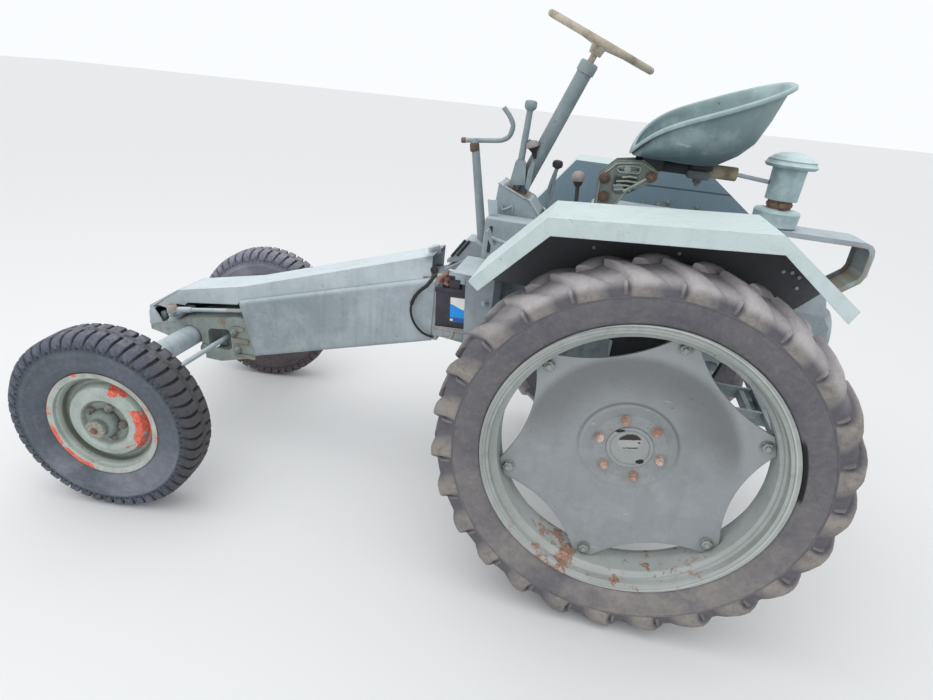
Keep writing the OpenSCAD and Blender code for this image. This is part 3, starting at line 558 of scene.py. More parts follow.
def rubber(name, flank, pale_flank, shoulder, hollow, ring, bare_radius, mud, torn=False):
    """Tyre rubber: a dark flank inside a thin ring, dusty bars, dark hollows between them and
    painted shade in corners. A torn tyre shows a dark gap along its bead, a little above the middle
    on the rear side, and a painted highlight on its tread's upper part; the others get painted
    shade on half the side that faces the beam."""
    made = Finish(name)
    x, y = made.place.part("X"), made.place.part("Y")
    radius = (x * x + y * y) ** 0.5
    patches = made.place.noise(4.0, 5.0, 0.65)
    fine = made.place.noise(48.0, 6.0, 0.72)
    pores = made.place.noise(380.0, 3.0)
    cracks = made.place.shift(4, 4, 4).noise(22.0, 6.0, 0.7, bend=0.8)
    bars = made.painted("dust")
    corners = made.crevice(0.03)
    low = 1.0 - y.rise(-0.9 * ring, 0.2 * ring)
    colour = (patches.rise(0.32, 0.68) * (0.25 + 0.55 * low) + fine.rise(0.4, 0.7) * 0.25
              + 0.15 * low).tint(hue(flank), hue(pale_flank))
    outside = (radius + 0.02 * patches).rise(ring + 0.008, ring + 0.013)
    colour = (outside * 0.9).tint(colour, fine.rise(0.3, 0.65).tint(hue(hollow), hue(flank)))
    muddy = (fine * 0.7 + patches * 0.5).rise(0.45, 0.72)
    colour = (bars * (0.45 + 0.55 * muddy) * mud).tint(colour, hue(shoulder))
    colour = (bars * cracks.rise(0.55, 0.66) * 0.45).tint(colour, hue("55514f"))
    worn = radius.rise(bare_radius - 0.004, bare_radius + 0.002) * fine.rise(0.35, 0.65)
    colour = (worn * 0.55 * mud).tint(colour, hue("a49e9b"))
    # Painted shade in corners and deep between the bars
    colour = (corners * 0.6).tint(colour, hue("24242b"))
    line = radius.rise(ring - 0.0055, ring - 0.004) - radius.rise(ring - 0.0035, ring - 0.002)
    colour = (line * 0.45).tint(colour, hue("2f3036"))
    behind = x.rise(0.4 * ring, 0.9 * ring) * radius.rise(ring + 0.006, ring + 0.02)
    if not torn:
        # Wet brown mud on the rear of the front tyres, and brownish painted shade on half of the
        # side that faces the beam
        colour = (behind * (0.35 + 0.4 * muddy)).tint(colour, hue("3e3a37"))
        inside = (1.0 - made.place.part("Z").rise(-0.06, -0.04)) * y.rise(-0.1 * ring, 0.7 * ring)
        colour = (inside * (0.6 + 0.3 * muddy)).tint(colour, hue("4b3c3a"))
    else:
        # The tread's upper part painted paler: a painted highlight
        above = y.rise(0.5 * ring, 0.9 * ring) * radius.rise(ring + 0.02, ring + 0.05)
        colour = (above * (0.6 + 0.4 * fine)).tint(colour, hue("c2bdbf"))
        gap = (radius.rise(0.476, 0.481) * (1.0 - radius.rise(0.494, 0.499))
               * x.rise(0.3, 0.4) * y.rise(0.0, 0.03) * (1.0 - y.rise(0.20, 0.23)))
        colour = gap.tint(colour, hue("1b1a20"))
    made.set(Base_Color=colour, Roughness=0.7 + 0.2 * muddy)
    made.relief(fine + pores * 0.3 + patches * 0.4 - cracks.rise(0.5, 0.62) * 0.4, 0.0025)
    return made.material


def nuts(mesh, places, across, height, washer=1.45, stud=0.5):
    """Hexagon nuts on washers, each with the end of its stud, about the Z axes of places."""
    r = across / math.sqrt(3)
    for i, place in enumerate(places):
        turned(mesh, [(r * washer, 0), (r * washer, 0.0025)], 24, place)
        turned(mesh, [(r * 0.98, 0.0024), (r, 0.004), (r, height * 0.85), (r * 0.87, height)], 6,
               place, phase=0.7 * i)
        turned(mesh, [(r * stud, height * 0.9), (r * stud, height * 1.35),
                      (r * stud * 0.7, height * 1.5)], 12, place)


def round_the_hub(count, first, radius, out, hand):
    """Places evenly spaced round a wheel's axis, in its own frame."""
    turns = [math.radians(first + 360 / count * k) * hand for k in range(count)]
    return [Matrix.Translation((radius * math.cos(a), radius * math.sin(a), out)) for a in turns]


rust_bolt = plain("rusty_bolt", "b08a79", "eadccf", 0.62, grain=140.0, depth=0.0014, dust=1.0)
painted_bolt = paint("painted_bolt", tone="8d9793", sky="a4aeaa", shade="6e7671", specks=2.5,
                     darkening=0.8, gloss=0.55)


def rear_rim_shading_and_rust(made, colour, bare, fine):
    """The rear rims have rolled rings in the flange, painted dark in its grooves as painted shade
    and pale on its ridge as a painted highlight. The lower half is painted paler, also a painted
    highlight, and low down they are scraped to rust.
    """
    x, z = made.place.part("X") - rear_axle_x, made.place.part("Z") - rear_axle_z
    radius = (x * x + z * z) ** 0.5
    # Dark rings of painted shade in the flange's grooves, and a pale ring of painted highlight on
    # its ridge
    for middle, width, strength, tone in (
            (0.4525, 0.004, 0.45, "4c4f4c"), (0.462, 0.003, 0.35, "565a57"),
            (0.4745, 0.003, 0.5, "4c4f4c"), (0.479, 0.003, 0.6, "cfd1c6")):
        ring = radius.rise(middle - width, middle) - radius.rise(middle, middle + width)
        colour = (ring * strength).tint(colour, hue(tone))
    # The lower half painted paler: a painted highlight
    colour = ((1.0 - z.rise(-0.45, 0.05)) * 0.45).tint(colour, hue("b7bbb8"))
    low = (1.0 - z.rise(-0.36, -0.30)) * x.rise(-0.27, -0.22) * (1.0 - x.rise(-0.12, -0.07))
    patch = made.place.noise(17.0, 5.0, 0.7)
    patch = (patch + low * 0.10).rise(0.56, 0.62) * (1.0 - z.rise(-0.42, -0.20))
    rust = fine.rise(0.35, 0.65).tint(hue("7a5240"), hue("b3876d"))
    return (patch * 0.85).tint(colour, rust), bare


def disc_shading(made, colour, bare, fine):
    """Painted shade and highlight on the disc's pressed steps: a dark ring round the hub, strongest
    in the upper half, and in the upper half a darker dish up to the fold of its points and paler
    points beyond it. Brownish specks lie round the hub."""
    x, z = made.place.part("X") - rear_axle_x, made.place.part("Z") - rear_axle_z
    radius = (x * x + z * z) ** 0.5
    seat = (x * x + (z - 0.012) * (z - 0.012)) ** 0.5
    step = seat.rise(0.153, 0.159) - seat.rise(0.160, 0.170)
    upper = z.rise(-0.06, 0.12)
    colour = (step * (0.08 + 0.5 * upper)).tint(colour, hue("454745"))
    fold = radius.rise(0.325, 0.362)
    colour = (fold * upper * 0.28).tint(colour, hue("a9b0ae"))
    colour = (upper * (1.0 - fold) * radius.rise(0.12, 0.30) * 0.6).tint(colour, hue("5c5e5e"))
    hub = 1.0 - radius.rise(0.085, 0.20)
    colour = (hub * fine.rise(0.55, 0.7) * 0.5).tint(colour, hue("8c7468"))
    return colour, bare


def plate_marks(made, colour, bare, fine):
    """The plate's middle is torn open: a dark gap of painted shade over a bent pale lip, and a
    black fold.
    Two notches in its ring are painted black as shade, and its ring's grooves are dark lines of
    painted shade."""
    x = made.place.part("X") + 0.006 * (made.place.noise(60.0, 3.0) - 0.5)
    y = made.place.part("Y") + 0.006 * (made.place.noise(90.0, 3.0) - 0.5)
    radius = (x * x + y * y) ** 0.5
    rings = radius.rise(0.0620, 0.0635) - radius.rise(0.0640, 0.0655) + radius.rise(0.0760, 0.0770)
    colour = (rings * 0.5).tint(colour, hue("484c4d"))

    slant = y - 0.22 * x

    def oval(cx, cy, wide, high):
        """1 inside an oval that slants as the tear does, 0 outside it."""
        dx, dy = (x - cx) * (1.0 / wide), (slant - cy) * (1.0 / high)
        return 1.0 - (dx * dx + dy * dy).rise(0.8, 1.15)

    mouth = oval(-0.006, 0.026, 0.037, 0.029)
    colour = (mouth * 0.6).tint(colour, hue("b4b5b0"))
    colour = (mouth * slant.rise(0.030, 0.033)).tint(colour, hue("33292d"))
    fold = oval(0.002, 0.001, 0.026, 0.0022) + oval(0.025, 0.022, 0.004, 0.003)
    black = fold + oval(0.042, -0.052, 0.0135, 0.0100) + oval(-0.043, 0.066, 0.0160, 0.0060)
    return black.tint(colour, hue("17151a")), bare


plate_paint = paint("hub_plate_paint", tone="95999a", sky="a0a4a4", shade="898d8e", specks=0.6,
                    darkening=0.25, gloss=0.55, under=plate_marks)
# The rim's pale worn edges also stand as a painted highlight along its ridges
rim_paint = paint("rear_rim_paint", tone="a4aaa7", sky="b4bab8", shade="8d9491", specks=1.2,
                  darkening=0.5, gloss=0.5, edge="cfcdbd", wear=0.8, under=rear_rim_shading_and_rust)
disc_paint = paint("disc_paint", tone="989ca0", sky="a3a8aa", shade="8c9193", specks=0.6,
                   darkening=0.3, gloss=0.6, edge="a8aca8", under=disc_shading)
rear_rubber = rubber("rear_rubber", flank="5b5a62", pale_flank="918c88", shoulder="99928b",
                     hollow="605d62", ring=0.571, bare_radius=0.655, mud=0.95, torn=True)
# The tyre's section from the bead out to the middle of the tread: [radius, height]
rear_flank = [(0.461, 0.068), (0.470, 0.082), (0.486, 0.086), (0.492, 0.092), (0.515, 0.101),
              (0.540, 0.1065), (0.560, 0.1078), (0.566, 0.1080), (0.5685, 0.1092),
              (0.572, 0.1088), (0.588, 0.1065), (0.600, 0.1020), (0.612, 0.0955),
              (0.623, 0.0860), (0.631, 0.0720), (0.635, 0.050), (0.637, 0.0)]
rear_bar = [(0.636, -0.006, 0, 0.0210, 0.061, 0.044), (0.636, 0.020, 2, 0.0220, 0.045, 0.050),
            (0.635, 0.048, 8, 0.0220, 0.027, 0.058), (0.631, 0.071, 18, 0.0220, 0.011, 0.068),
            (0.624, 0.088, 36, 0.0210, -0.003, 0.078), (0.612, 0.0985, 58, 0.0165, -0.012, 0.086),
            (0.598, 0.1035, 72, 0.0115, -0.013, 0.092), (0.584, 0.1065, 82, 0.0070, -0.011, 0.096),
            (0.573, 0.1082, 88, 0.0020, -0.008, 0.100)]
rear_section = [(-0.10, -0.3), (-0.02, 0.30), (0.04, 0.78), (0.12, 1.0), (0.36, 0.99),
                (0.60, 0.90), (0.80, 0.66), (0.95, 0.34), (1.08, 0.04), (1.18, -0.3)]
# The short stiffening rib in the hollow ahead of each bar's end
rear_rib = [(0.615, 0.0955, 56, 0.003, 0.007, 0.013), (0.606, 0.1010, 66, 0.009, 0.008, 0.012),
            (0.592, 0.1050, 78, 0.008, 0.008, 0.012), (0.578, 0.1075, 86, 0.002, 0.008, 0.010)]
rib_section = [(-0.2, -0.4), (0.15, 0.8), (0.5, 1.0), (0.85, 0.8), (1.2, -0.4)]
# Each bar is worn a little differently, the same way each time the script runs
random.seed(25)
rear_half_track = 0.625
rear_bars = 25
rear_pitch = 360 / rear_bars
# How the wheel stands in the photo, in degrees: its first bar, hub nut and rim bolt
bar_start, nut_start, bolt_start = -4.8, 48.7, 19.25
for side, way in (("left", -1), ("right", 1)):
    place = wheel_place(side, 0, way * rear_half_track, level_axle_z)
    body = "rear_wheel_" + side
    hand = -way
    mesh = bmesh.new()
    turned(mesh, rear_flank + [(r, -h) for r, h in rear_flank[-2::-1]], 150, closed=True)
    for out, start in ((1, 0.5 * rear_pitch + bar_start), (-1, bar_start)):
        ribs(mesh, rear_bar, rear_section, rear_bars, start, hand, out)
        ribs(mesh, rear_rib, rib_section, rear_bars, start, hand, out, dusty=0.5)
    build("rear_tread_" + side, mesh, rear_rubber, body, "tyre", "rear_tyre_" + side, place=place,
          sharp=50.0)
    dress(rim_paint, "rear_rim_" + side)
    dress(disc_paint, "rear_disc_" + side)
    # Six hub nuts, and at each point of the disc a bolt through the rim's lug
    mesh = bmesh.new()
    nuts(mesh, round_the_hub(6, nut_start, 0.105, -0.048, hand), 0.025, 0.020, washer=1.05,
         stud=0.6)
    build("rear_hub_nuts_" + side, mesh, rust_bolt, body, "cast_paint", place=place)
    # The hub's end plate with its raised ring, which hides the half shaft's cap
    mesh = bmesh.new()
    turned(mesh, [(0.0775, -0.0500), (0.0775, -0.0462), (0.0760, -0.0450), (0.0665, -0.0446),
                  (0.0650, -0.0462), (0.0625, -0.0464), (0.0600, -0.0446), (0.0560, -0.0442)], 64)
    build("rear_hub_plate_" + side, mesh, plate_paint, body, "cast_paint", place=place)
    mesh = bmesh.new()
    nuts(mesh, round_the_hub(6, bolt_start, 0.407, 0.0065, hand), 0.032, 0.014, washer=1.15)
    build("rear_rim_bolts_" + side, mesh, painted_bolt, body, "cast_paint", place=place)

# Front wheels
# Pressed steel wheels on long hubs. The paint has come off in big flakes down to orange primer,
# most of all on the bowl's rear side and the lower flange. The tyres have close cross bars.
front_flank = [(0.205, 0.046), (0.210, 0.056), (0.226, 0.060), (0.232, 0.068), (0.250, 0.0765),
               (0.254, 0.0790), (0.257, 0.0785), (0.276, 0.082), (0.296, 0.083), (0.299, 0.0845),
               (0.302, 0.083), (0.318, 0.0818), (0.321, 0.0828), (0.324, 0.0812), (0.340, 0.0765),
               (0.354, 0.068), (0.362, 0.055), (0.366, 0.034), (0.367, 0.0)]
front_bar = [(0.366, 0.004, 0, 0.0125, 0.0185, 0.037), (0.366, 0.034, 3, 0.0130, 0.0165, 0.037),
             (0.363, 0.054, 12, 0.0140, 0.0185, 0.038), (0.355, 0.068, 34, 0.0110, 0.0225, 0.038),
             (0.345, 0.0750, 54, 0.0055, 0.0265, 0.037), (0.334, 0.0790, 74, 0.0016, 0.0290, 0.034)]
front_section = [(-0.05, -0.3), (0.0, 0.55), (0.05, 0.94), (0.14, 1.0), (0.86, 1.0),
                 (0.95, 0.94), (1.0, 0.55), (1.05, -0.3)]
# The short ribs round the shoulder, two to each bar
side_rib = [(0.348, 0.0745, 52, 0.0060, 0.004, 0.009), (0.336, 0.0790, 72, 0.0055, 0.004, 0.009),
            (0.322, 0.0815, 84, 0.0030, 0.004, 0.008)]
# The far tyre is dustier than the near one
front_rubbers = {
    "left": rubber("front_rubber", flank="475159", pale_flank="848792", shoulder="76778a",
                   hollow="2b2d34", ring=0.3225, bare_radius=0.3765, mud=0.6),
    "right": rubber("far_front_rubber", flank="6f717c", pale_flank="9799a4", shoulder="9192a0",
                    hollow="3c3d46", ring=0.3225, bare_radius=0.3765, mud=0.9)}
# The front wheels stand turned a little to the left as parked, in degrees
parked_turn = 7.0
nut_grey = plain("greasy_nut", "6d6a62", "9c9b92", 0.5, grain=180.0, depth=0.001, dust=0.8)


def flaked_and_shaded(centre):
    """The paint is off one wheel in flakes down to bright primer: a ragged patch in the bowl's rear
    half, a second one above it, and worn lengths of the flange. Painted shade darkens the groove
    between bowl and flange and the middle round the hub."""
    def under(made, colour, bare, fine):
        level = made.place.shift(-centre.x, -centre.y, -centre.z)
        local = level.add("VectorRotate", {"rotation_type": "Z_AXIS"},
                          {"Vector": level, "Angle": math.radians(-parked_turn)})
        x, z = local.part("X"), local.part("Z")
        radius = (x * x + z * z) ** 0.5
        ragged = local.noise(19.0, 6.0, 0.6) + 0.3 * local.noise(70.0, 4.0)
        bowl = radius.rise(0.114, 0.130) * (1.0 - radius.rise(0.160, 0.176))
        low_patch = bowl * x.rise(0.05, 0.08) * (1.0 - z.rise(0.06, 0.09)) * z.rise(-0.13, -0.09)
        high_patch = bowl * x.rise(0.02, 0.04) * (1.0 - x.rise(0.10, 0.12)) * z.rise(0.110, 0.128)
        lip = radius.rise(0.203, 0.209)
        low_lip = lip * (1.0 - x.rise(-0.10, -0.03)) * (1.0 - z.rise(-0.06, 0.0))
        peel = ((ragged + low_patch * 0.30 + high_patch * 0.34 + low_lip * 0.28 + lip * 0.08)
                .rise(0.845, 0.875))
        peel = peel * (bowl + lip).rise(0.2, 0.5)
        primer = fine.rise(0.3, 0.7).tint(hue("cf5442"), hue("f5836c"))
        ring = radius.rise(0.2194, 0.2206) * local.noise(9.0, 3.0).rise(0.36, 0.5)
        colour = (ring * (0.45 + 0.4 * z.rise(-0.1, 0.1))).tint(
            colour, x.rise(0.0, 0.12).tint(hue("b3513f"), hue("d9a58c")))
        stains = local.noise(34.0, 5.0, 0.75).rise(0.56, 0.64) * radius.rise(0.15, 0.19) * 0.5
        colour = stains.tint(colour, hue("9c6455"))
        # Painted shade in the groove between bowl and flange, and round the hub
        colour = (radius.rise(0.150, 0.18) * (1.0 - radius.rise(0.185, 0.20)) * 0.6).tint(
            colour, hue("53564a"))
        colour = ((1.0 - radius.rise(0.085, 0.105)) * 0.5).tint(colour, hue("6c7269"))
        return peel.tint(colour, primer), bare
    return under


def hub_rust(made, colour, bare, fine):
    """The cap's face has lost its paint to pale scale and rust."""
    face = made.place.part("Z").rise(0.0965, 0.1005)
    scale = made.place.noise(150.0, 4.0).rise(0.4, 0.6).tint(hue("84837a"), hue("aaa99f"))
    colour = (face * 0.85).tint(colour, scale)
    return made.place.part("Z").rise(0.1062, 0.1075).tint(colour, hue("7d5f4b")), bare


hub_paint = paint("front_hub_paint", tone="737e7a", sky="8c9793", shade="5c6561", specks=1.8,
                  darkening=0.9, gloss=0.55, wear=0.6, under=hub_rust)
kingpin_out = 0.470
wheel_out = 0.175
front_axle_z = 0.380
front_bars = 48
front_pitch = 360 / front_bars
turn = math.radians(parked_turn)
for side, way in (("left", -1), ("right", 1)):
    off = Vector((way * -wheel_out * math.sin(turn), way * wheel_out * math.cos(turn), 0))
    centre = Vector((-wheelbase, way * kingpin_out, front_axle_z)) + off
    place = wheel_place(side, *centre, turn=parked_turn)
    body = "front_wheel_" + side
    hand = -way
    mesh = bmesh.new()
    turned(mesh, front_flank + [(r, -h) for r, h in front_flank[-2::-1]], 120, closed=True)
    for out, start in ((1, 0.5 * front_pitch), (-1, 0.0)):
        ribs(mesh, front_bar, front_section, front_bars, start, hand, out)
        ribs(mesh, side_rib, rib_section, 2 * front_bars, start, hand, out, dusty=0.5)
    # The plain rib round the middle of the tread
    turned(mesh, [(0.360, -0.014), (0.378, -0.012), (0.378, 0.012), (0.360, 0.014)], 120,
           closed=True)
    build("front_tread_" + side, mesh, front_rubbers[side], body, "tyre", "front_tyre_" + side,
          place=place, sharp=50.0)
    rim = paint("front_rim_paint_" + side, tone="b5c0ba", sky="c6d2cc", shade="9ba69f", specks=1.5,
                darkening=0.5, gloss=0.5, edge="ccc6b2", wear=0.8, under=flaked_and_shaded(body_stand @ centre))
    dress(rim, "front_rim_" + side)
    mesh = bmesh.new()
    nuts(mesh, round_the_hub(5, -1, 0.0685, 0.0305, hand), 0.028, 0.018, washer=1.1)
    build("front_wheel_nuts_" + side, mesh, nut_grey, body, "cast_paint", place=place)
    # The hub's barrel and its blunt cap with the bolt in the middle
    mesh = bmesh.new()
    turned(mesh, [(0.057, 0.030), (0.058, 0.034), (0.0565, 0.052), (0.0520, 0.064),
                  (0.044, 0.072), (0.0365, 0.075), (0.0365, 0.084), (0.0375, 0.087),
                  (0.0375, 0.100), (0.0355, 0.1045), (0.026, 0.1060), (0.0235, 0.1048),
                  (0.014, 0.1048)], 40)
    turned(mesh, [(0.0145, 0.1045), (0.0145, 0.1075), (0.013, 0.1085)], 20)
    turned(mesh, [(0.0105, 0.1080), (0.0105, 0.114), (0.0085, 0.1155)], 6)
    build("front_hub_cap_" + side, mesh, hub_paint, body, "cast_paint", place=place)

# Seat
# One deep pressed pan in the same paint, with its rim turned over all round. It rocks on a
# bracket with coil springs and a block of black rubber.


pan_points = 72
pan_squareness = 0.88
pan_askew = 0.085


def seat_ring(x, z, tilt, long, wide, dip=0.0):
    """A ring of the pan: a rounded oblong of half length and half width that tilts up to the rear.
    dip is how far its front droops. The pan sits askew on its springs, lower to the left."""
    slope = math.radians(tilt)
    ring = []
    for k in range(pan_points):
        turn = math.tau * k / pan_points
        c, s = (math.copysign(abs(v) ** pan_squareness, v)
                for v in (math.cos(turn), math.sin(turn)))
        front = max(-c, 0.0) ** 4
        along = (long - 0.2 * dip * front) * c
        ring.append(stand(x + along * math.cos(slope), wide * s,
                          z + along * math.sin(slope) - dip * front + pan_askew * wide * s))
    return ring


# From under the pan's middle out and up to its rim, round the turned-over lip, and back down the
# inside: [x, z, tilt, half length, half width, dip]
pan_outside = [(0.020, 1.568, 0, 0.060, 0.058), (0.020, 1.568, 0, 0.112, 0.112),
               (0.026, 1.586, 8, 0.168, 0.148), (0.032, 1.612, 12, 0.206, 0.174, 0.006),
               (0.044, 1.664, 17, 0.230, 0.190, 0.022), (0.055, 1.715, 21, 0.246, 0.199, 0.048),
               (0.059, 1.737, 22, 0.253, 0.203, 0.064)]
pan_lip = [(0.060, 1.7405, 22, 0.262, 0.210, 0.070), (0.061, 1.7355, 22, 0.2685, 0.2155, 0.074),
           (0.061, 1.7355, 22, 0.2715, 0.2180, 0.075), (0.061, 1.7445, 22, 0.2695, 0.2165, 0.074),
           (0.060, 1.7500, 22, 0.2630, 0.2110, 0.071),
           (0.0595, 1.7505, 22, 0.2560, 0.2050, 0.067)]
pan_inside = [(0.059, 1.744, 22, 0.2490, 0.1995, 0.064), (0.055, 1.719, 21, 0.2425, 0.1960, 0.048),
              (0.044, 1.668, 17, 0.2270, 0.1870, 0.022), (0.032, 1.616, 12, 0.2030, 0.1710, 0.006),
              (0.026, 1.590, 8, 0.1650, 0.1450), (0.020, 1.572, 0, 0.1090, 0.1090),
              (0.020, 1.572, 0, 0.0600, 0.0580)]


def seat_shade(made, colour, bare, fine):
    """Under the turned-over rim the pan's outside stays dark and teal."""
    under = made.side.part("Z").rise(-0.9, 0.0)
    low = (1.0 - under) * (0.55 + 0.4 * (1.0 - made.place.part("Z").rise(1.58, 1.72)))
    return low.tint(colour, hue("41565b")), bare


seat_paint = paint("seat_paint", tone="7f9597", sky="b6cacb", shade="6d8387", specks=0.9,
                   darkening=0.4, gloss=0.44, under=seat_shade)
mesh = bmesh.new()
skin(mesh, [seat_ring(*ring) for ring in pan_outside + pan_lip + pan_inside])
build("seat_shell", mesh, seat_paint, "chassis", "body_paint", "seat_pan", sharp=60.0)


def facing(point, direction):
    """A place at a point in millimetres, with its Z axis along direction."""
    turn = Vector(direction).to_track_quat("Z", "Y").to_matrix().to_4x4()
    return body_stand @ Matrix.Translation(Vector(point) / 1000) @ turn


def swept(mesh, points, radius, sides=12):
    """A round bar along points in metres, of one radius or of a list with one for each point."""
    radii = radius if isinstance(radius, list) else [radius] * len(points)
    rings, aside = [], None
    for i, (point, r) in enumerate(zip(points, radii)):
        along = (points[min(i + 1, len(points) - 1)] - points[max(i - 1, 0)]).normalized()
        aside = aside or along.orthogonal()
        aside = (aside - along * aside.dot(along)).normalized()
        over = along.cross(aside)
        rings.append([point + r * (math.cos(a) * aside + math.sin(a) * over)
                      for a in (math.tau * k / sides for k in range(sides))])
    skin(mesh, rings)


def block(mesh, low, high, cut=1.5, place=body_stand):
    """A box between two corners in millimetres, with its edges cut off."""
    rings = []
    for z, c in ((low[2], cut), (low[2] + cut, 0), (high[2] - cut, 0), (high[2], cut)):
        x0, x1, y0, y1 = low[0] + c, high[0] - c, low[1] + c, high[1] - c
        rings.append([place @ (Vector((x, y, z)) / 1000) for x, y in (
            (x0, y0 + cut), (x0 + cut, y0), (x1 - cut, y0), (x1, y0 + cut), (x1, y1 - cut),
            (x1 - cut, y1), (x0 + cut, y1), (x0, y1 - cut))])
    skin(mesh, rings)


def plate(mesh, outline, y0, y1):
    """A flat upright plate along the tractor: [x, z] corners in millimetres."""
    skin(mesh, [[at(x, y, z) for x, z in outline] for y in (y0, y1)])


bracket_edges = paint("bracket_edges", tone="a7b0a6", sky="b9c1b6", shade="8b948b", specks=2.0,
                      darkening=0.7, gloss=0.55)
black_rubber = plain("black_rubber", "2a2b2f", "4a4a4c", 0.7, grain=260.0, dust=0.5)
oily_steel = plain("oily_steel", "4f5557", "7e8582", 0.5, grain=200.0, depth=0.0008, dust=0.6)
rusty_iron = plain("rusty_iron", "5a4a3f", "93785f", 0.7, grain=160.0, depth=0.001, dust=0.7)
# The rocking bracket's bolts, each on a big washer, and the roller in its slot
mesh = bmesh.new()
for x, z in ((-246, 1472), (-237, 1408), (-86, 1497)):
    for y in (-1, 1):
        nuts(mesh, [facing((x, 70 * y, z), (0, y, 0))], 0.026, 0.016, washer=1.35)
build("seat_bracket_bolts", mesh, rusty_iron, "chassis", "cast_paint")
# Its raised pale edges, the roller and the slanting link
mesh = bmesh.new()
for y in (-1, 1):
    edge = [(-258, 1382), (-262, 1474), (-213, 1526), (-126, 1540), (-74, 1512), (-80, 1488),
            (-160, 1437), (-196, 1378)]
    swept(mesh, [at(x, 63 * y, z) for x, z in edge], 0.0035, 8)
    slot = smooth_line([at(x, 63 * y, z) for x, z in (
        (-200, 1498), (-208, 1508), (-200, 1518), (-136, 1524), (-128, 1512), (-136, 1502),
        (-200, 1498))], 3)
    swept(mesh, slot, 0.0035, 8)
    turned(mesh, [(0.006, -0.016), (0.012, -0.014), (0.012, 0.0), (0.006, 0.002)], 20,
           facing((-172, 66 * y, 1510), (0, y, 0)))
    swept(mesh, [at(-100, 68 * y, 1488), at(-172, 68 * y, 1434)], 0.0055)
build("seat_bracket_links", mesh, bracket_edges, "chassis", "cast_paint")
# Its springs lie between the cheeks' ribs
mesh = bmesh.new()
for y in (-68, 68):
    for z, x0, x1 in ((1484, -186, -134), (1468, -204, -128), (1452, -212, -134),
                      (1437, -206, -146)):
        swept(mesh, [at(x0, y, z - 2), at((x0 + x1) / 2, y, z + 4), at(x1, y, z + 3)], 0.0036)
build("seat_springs", mesh, bracket_edges, "chassis", "cast_paint")
# The rubber block under the pan, the dark casting below it and the stay's collar
mesh = bmesh.new()
block(mesh, (-126, -60, 1518), (-54, 60, 1562), 5.0)
block(mesh, (42, -48, 1538), (116, 48, 1570), 4.0)
tube = facing((-20, 0, 1538), (1, 0, 0))
turned(mesh, [(0.0235, -0.130), (0.0235, 0.160)], 28, tube)
build("seat_rubbers", mesh, black_rubber, "chassis", "cable_cover")
mesh = bmesh.new()
nuts(mesh, [facing((79, 0, 1513), (0, 0, -1))], 0.030, 0.022, washer=1.3)
block(mesh, (34, -50, 1508), (112, 50, 1539), 5.0)
build("seat_stud_nut", mesh, oily_steel, "chassis", "cast_paint")
mesh = bmesh.new()
turned(mesh, [(0.0230, 0.115), (0.0240, 0.118), (0.0240, 0.222), (0.0225, 0.226)], 28, tube)
peeling = plain("peeling_tube", "6b5f4c", "a39a80", 0.6, grain=150.0, dust=0.9)
build("seat_tube_end", mesh, peeling, "chassis", "cast_paint")
mesh = bmesh.new()
swept(mesh, [at(206, -2, 1538), at(316, -2, 1528)], 0.0075)
build("seat_stay", mesh, rod_paint, "chassis", "cast_paint")

# Steering wheel
# A steel ring moulded over in pale plastic, which has yellowed and is grimy where hands hold it.
# Its spokes meet in a hub at the top of the column's shaft.
grip = plain("aged_plastic", "b3aa98", "7a7061", 0.5, grain=220.0, depth=0.0006, dust=0.7)
dress(grip, "steering_wheel")

# Column, levers and hand crank
# The steering column is a sheet tube with a collar. A gear lever with a round cap stands beside it
# in a folded sheet bracket, two short levers end in balls, and a bent hand crank stands ahead.
column = (body_stand @ Matrix.Translation((-0.3447, -0.024, 1.907))
          @ Matrix.Rotation(math.radians(-8.7), 4, "Z")
          @ Matrix.Rotation(math.radians(21.7), 4, "Y"))
mesh = bmesh.new()
turned(mesh, [(0.0275, -0.600), (0.0285, -0.597), (0.0275, -0.106), (0.0255, -0.105)], 40, column)
turned(mesh, [(0.0300, -0.109), (0.0325, -0.107), (0.0330, -0.078), (0.0300, -0.070),
              (0.0200, -0.069)], 40, column)
build("column_sleeve", mesh, column_paint, "chassis", "body_paint")
# The gear lever with its cap, between two folded plates, and the shaft of the far lever
mesh = bmesh.new()
swept(mesh, [at(-566, -30, 1392), at(-560, -30, 1520), at(-554, -30, 1672)],
      [0.014, 0.0125, 0.0115])
turned(mesh, [(0.012, -0.004), (0.019, 0.002), (0.0225, 0.008), (0.0225, 0.024), (0.018, 0.030),
              (0.008, 0.032)], 24, facing((-554, -30, 1668), (0.02, 0, 1)))
plate(mesh, [(-592, 1396), (-580, 1478), (-576, 1490), (-543, 1492), (-539, 1484), (-530, 1404)],
      -52, -49)
plate(mesh, [(-592, 1396), (-580, 1478), (-576, 1490), (-573, 1490), (-577, 1478), (-588, 1396)],
      -49, -8)
plate(mesh, [(-530, 1396), (-527, 1462), (-514, 1494), (-506, 1490), (-508, 1420), (-514, 1384)],
      -58, -55)
swept(mesh, smooth_line([at(-438, 40, 1291), at(-446, 40, 1385), at(-429, 40, 1470)], 6), 0.0075)
build("gear_lever", mesh, column_paint, "chassis", "cast_paint")
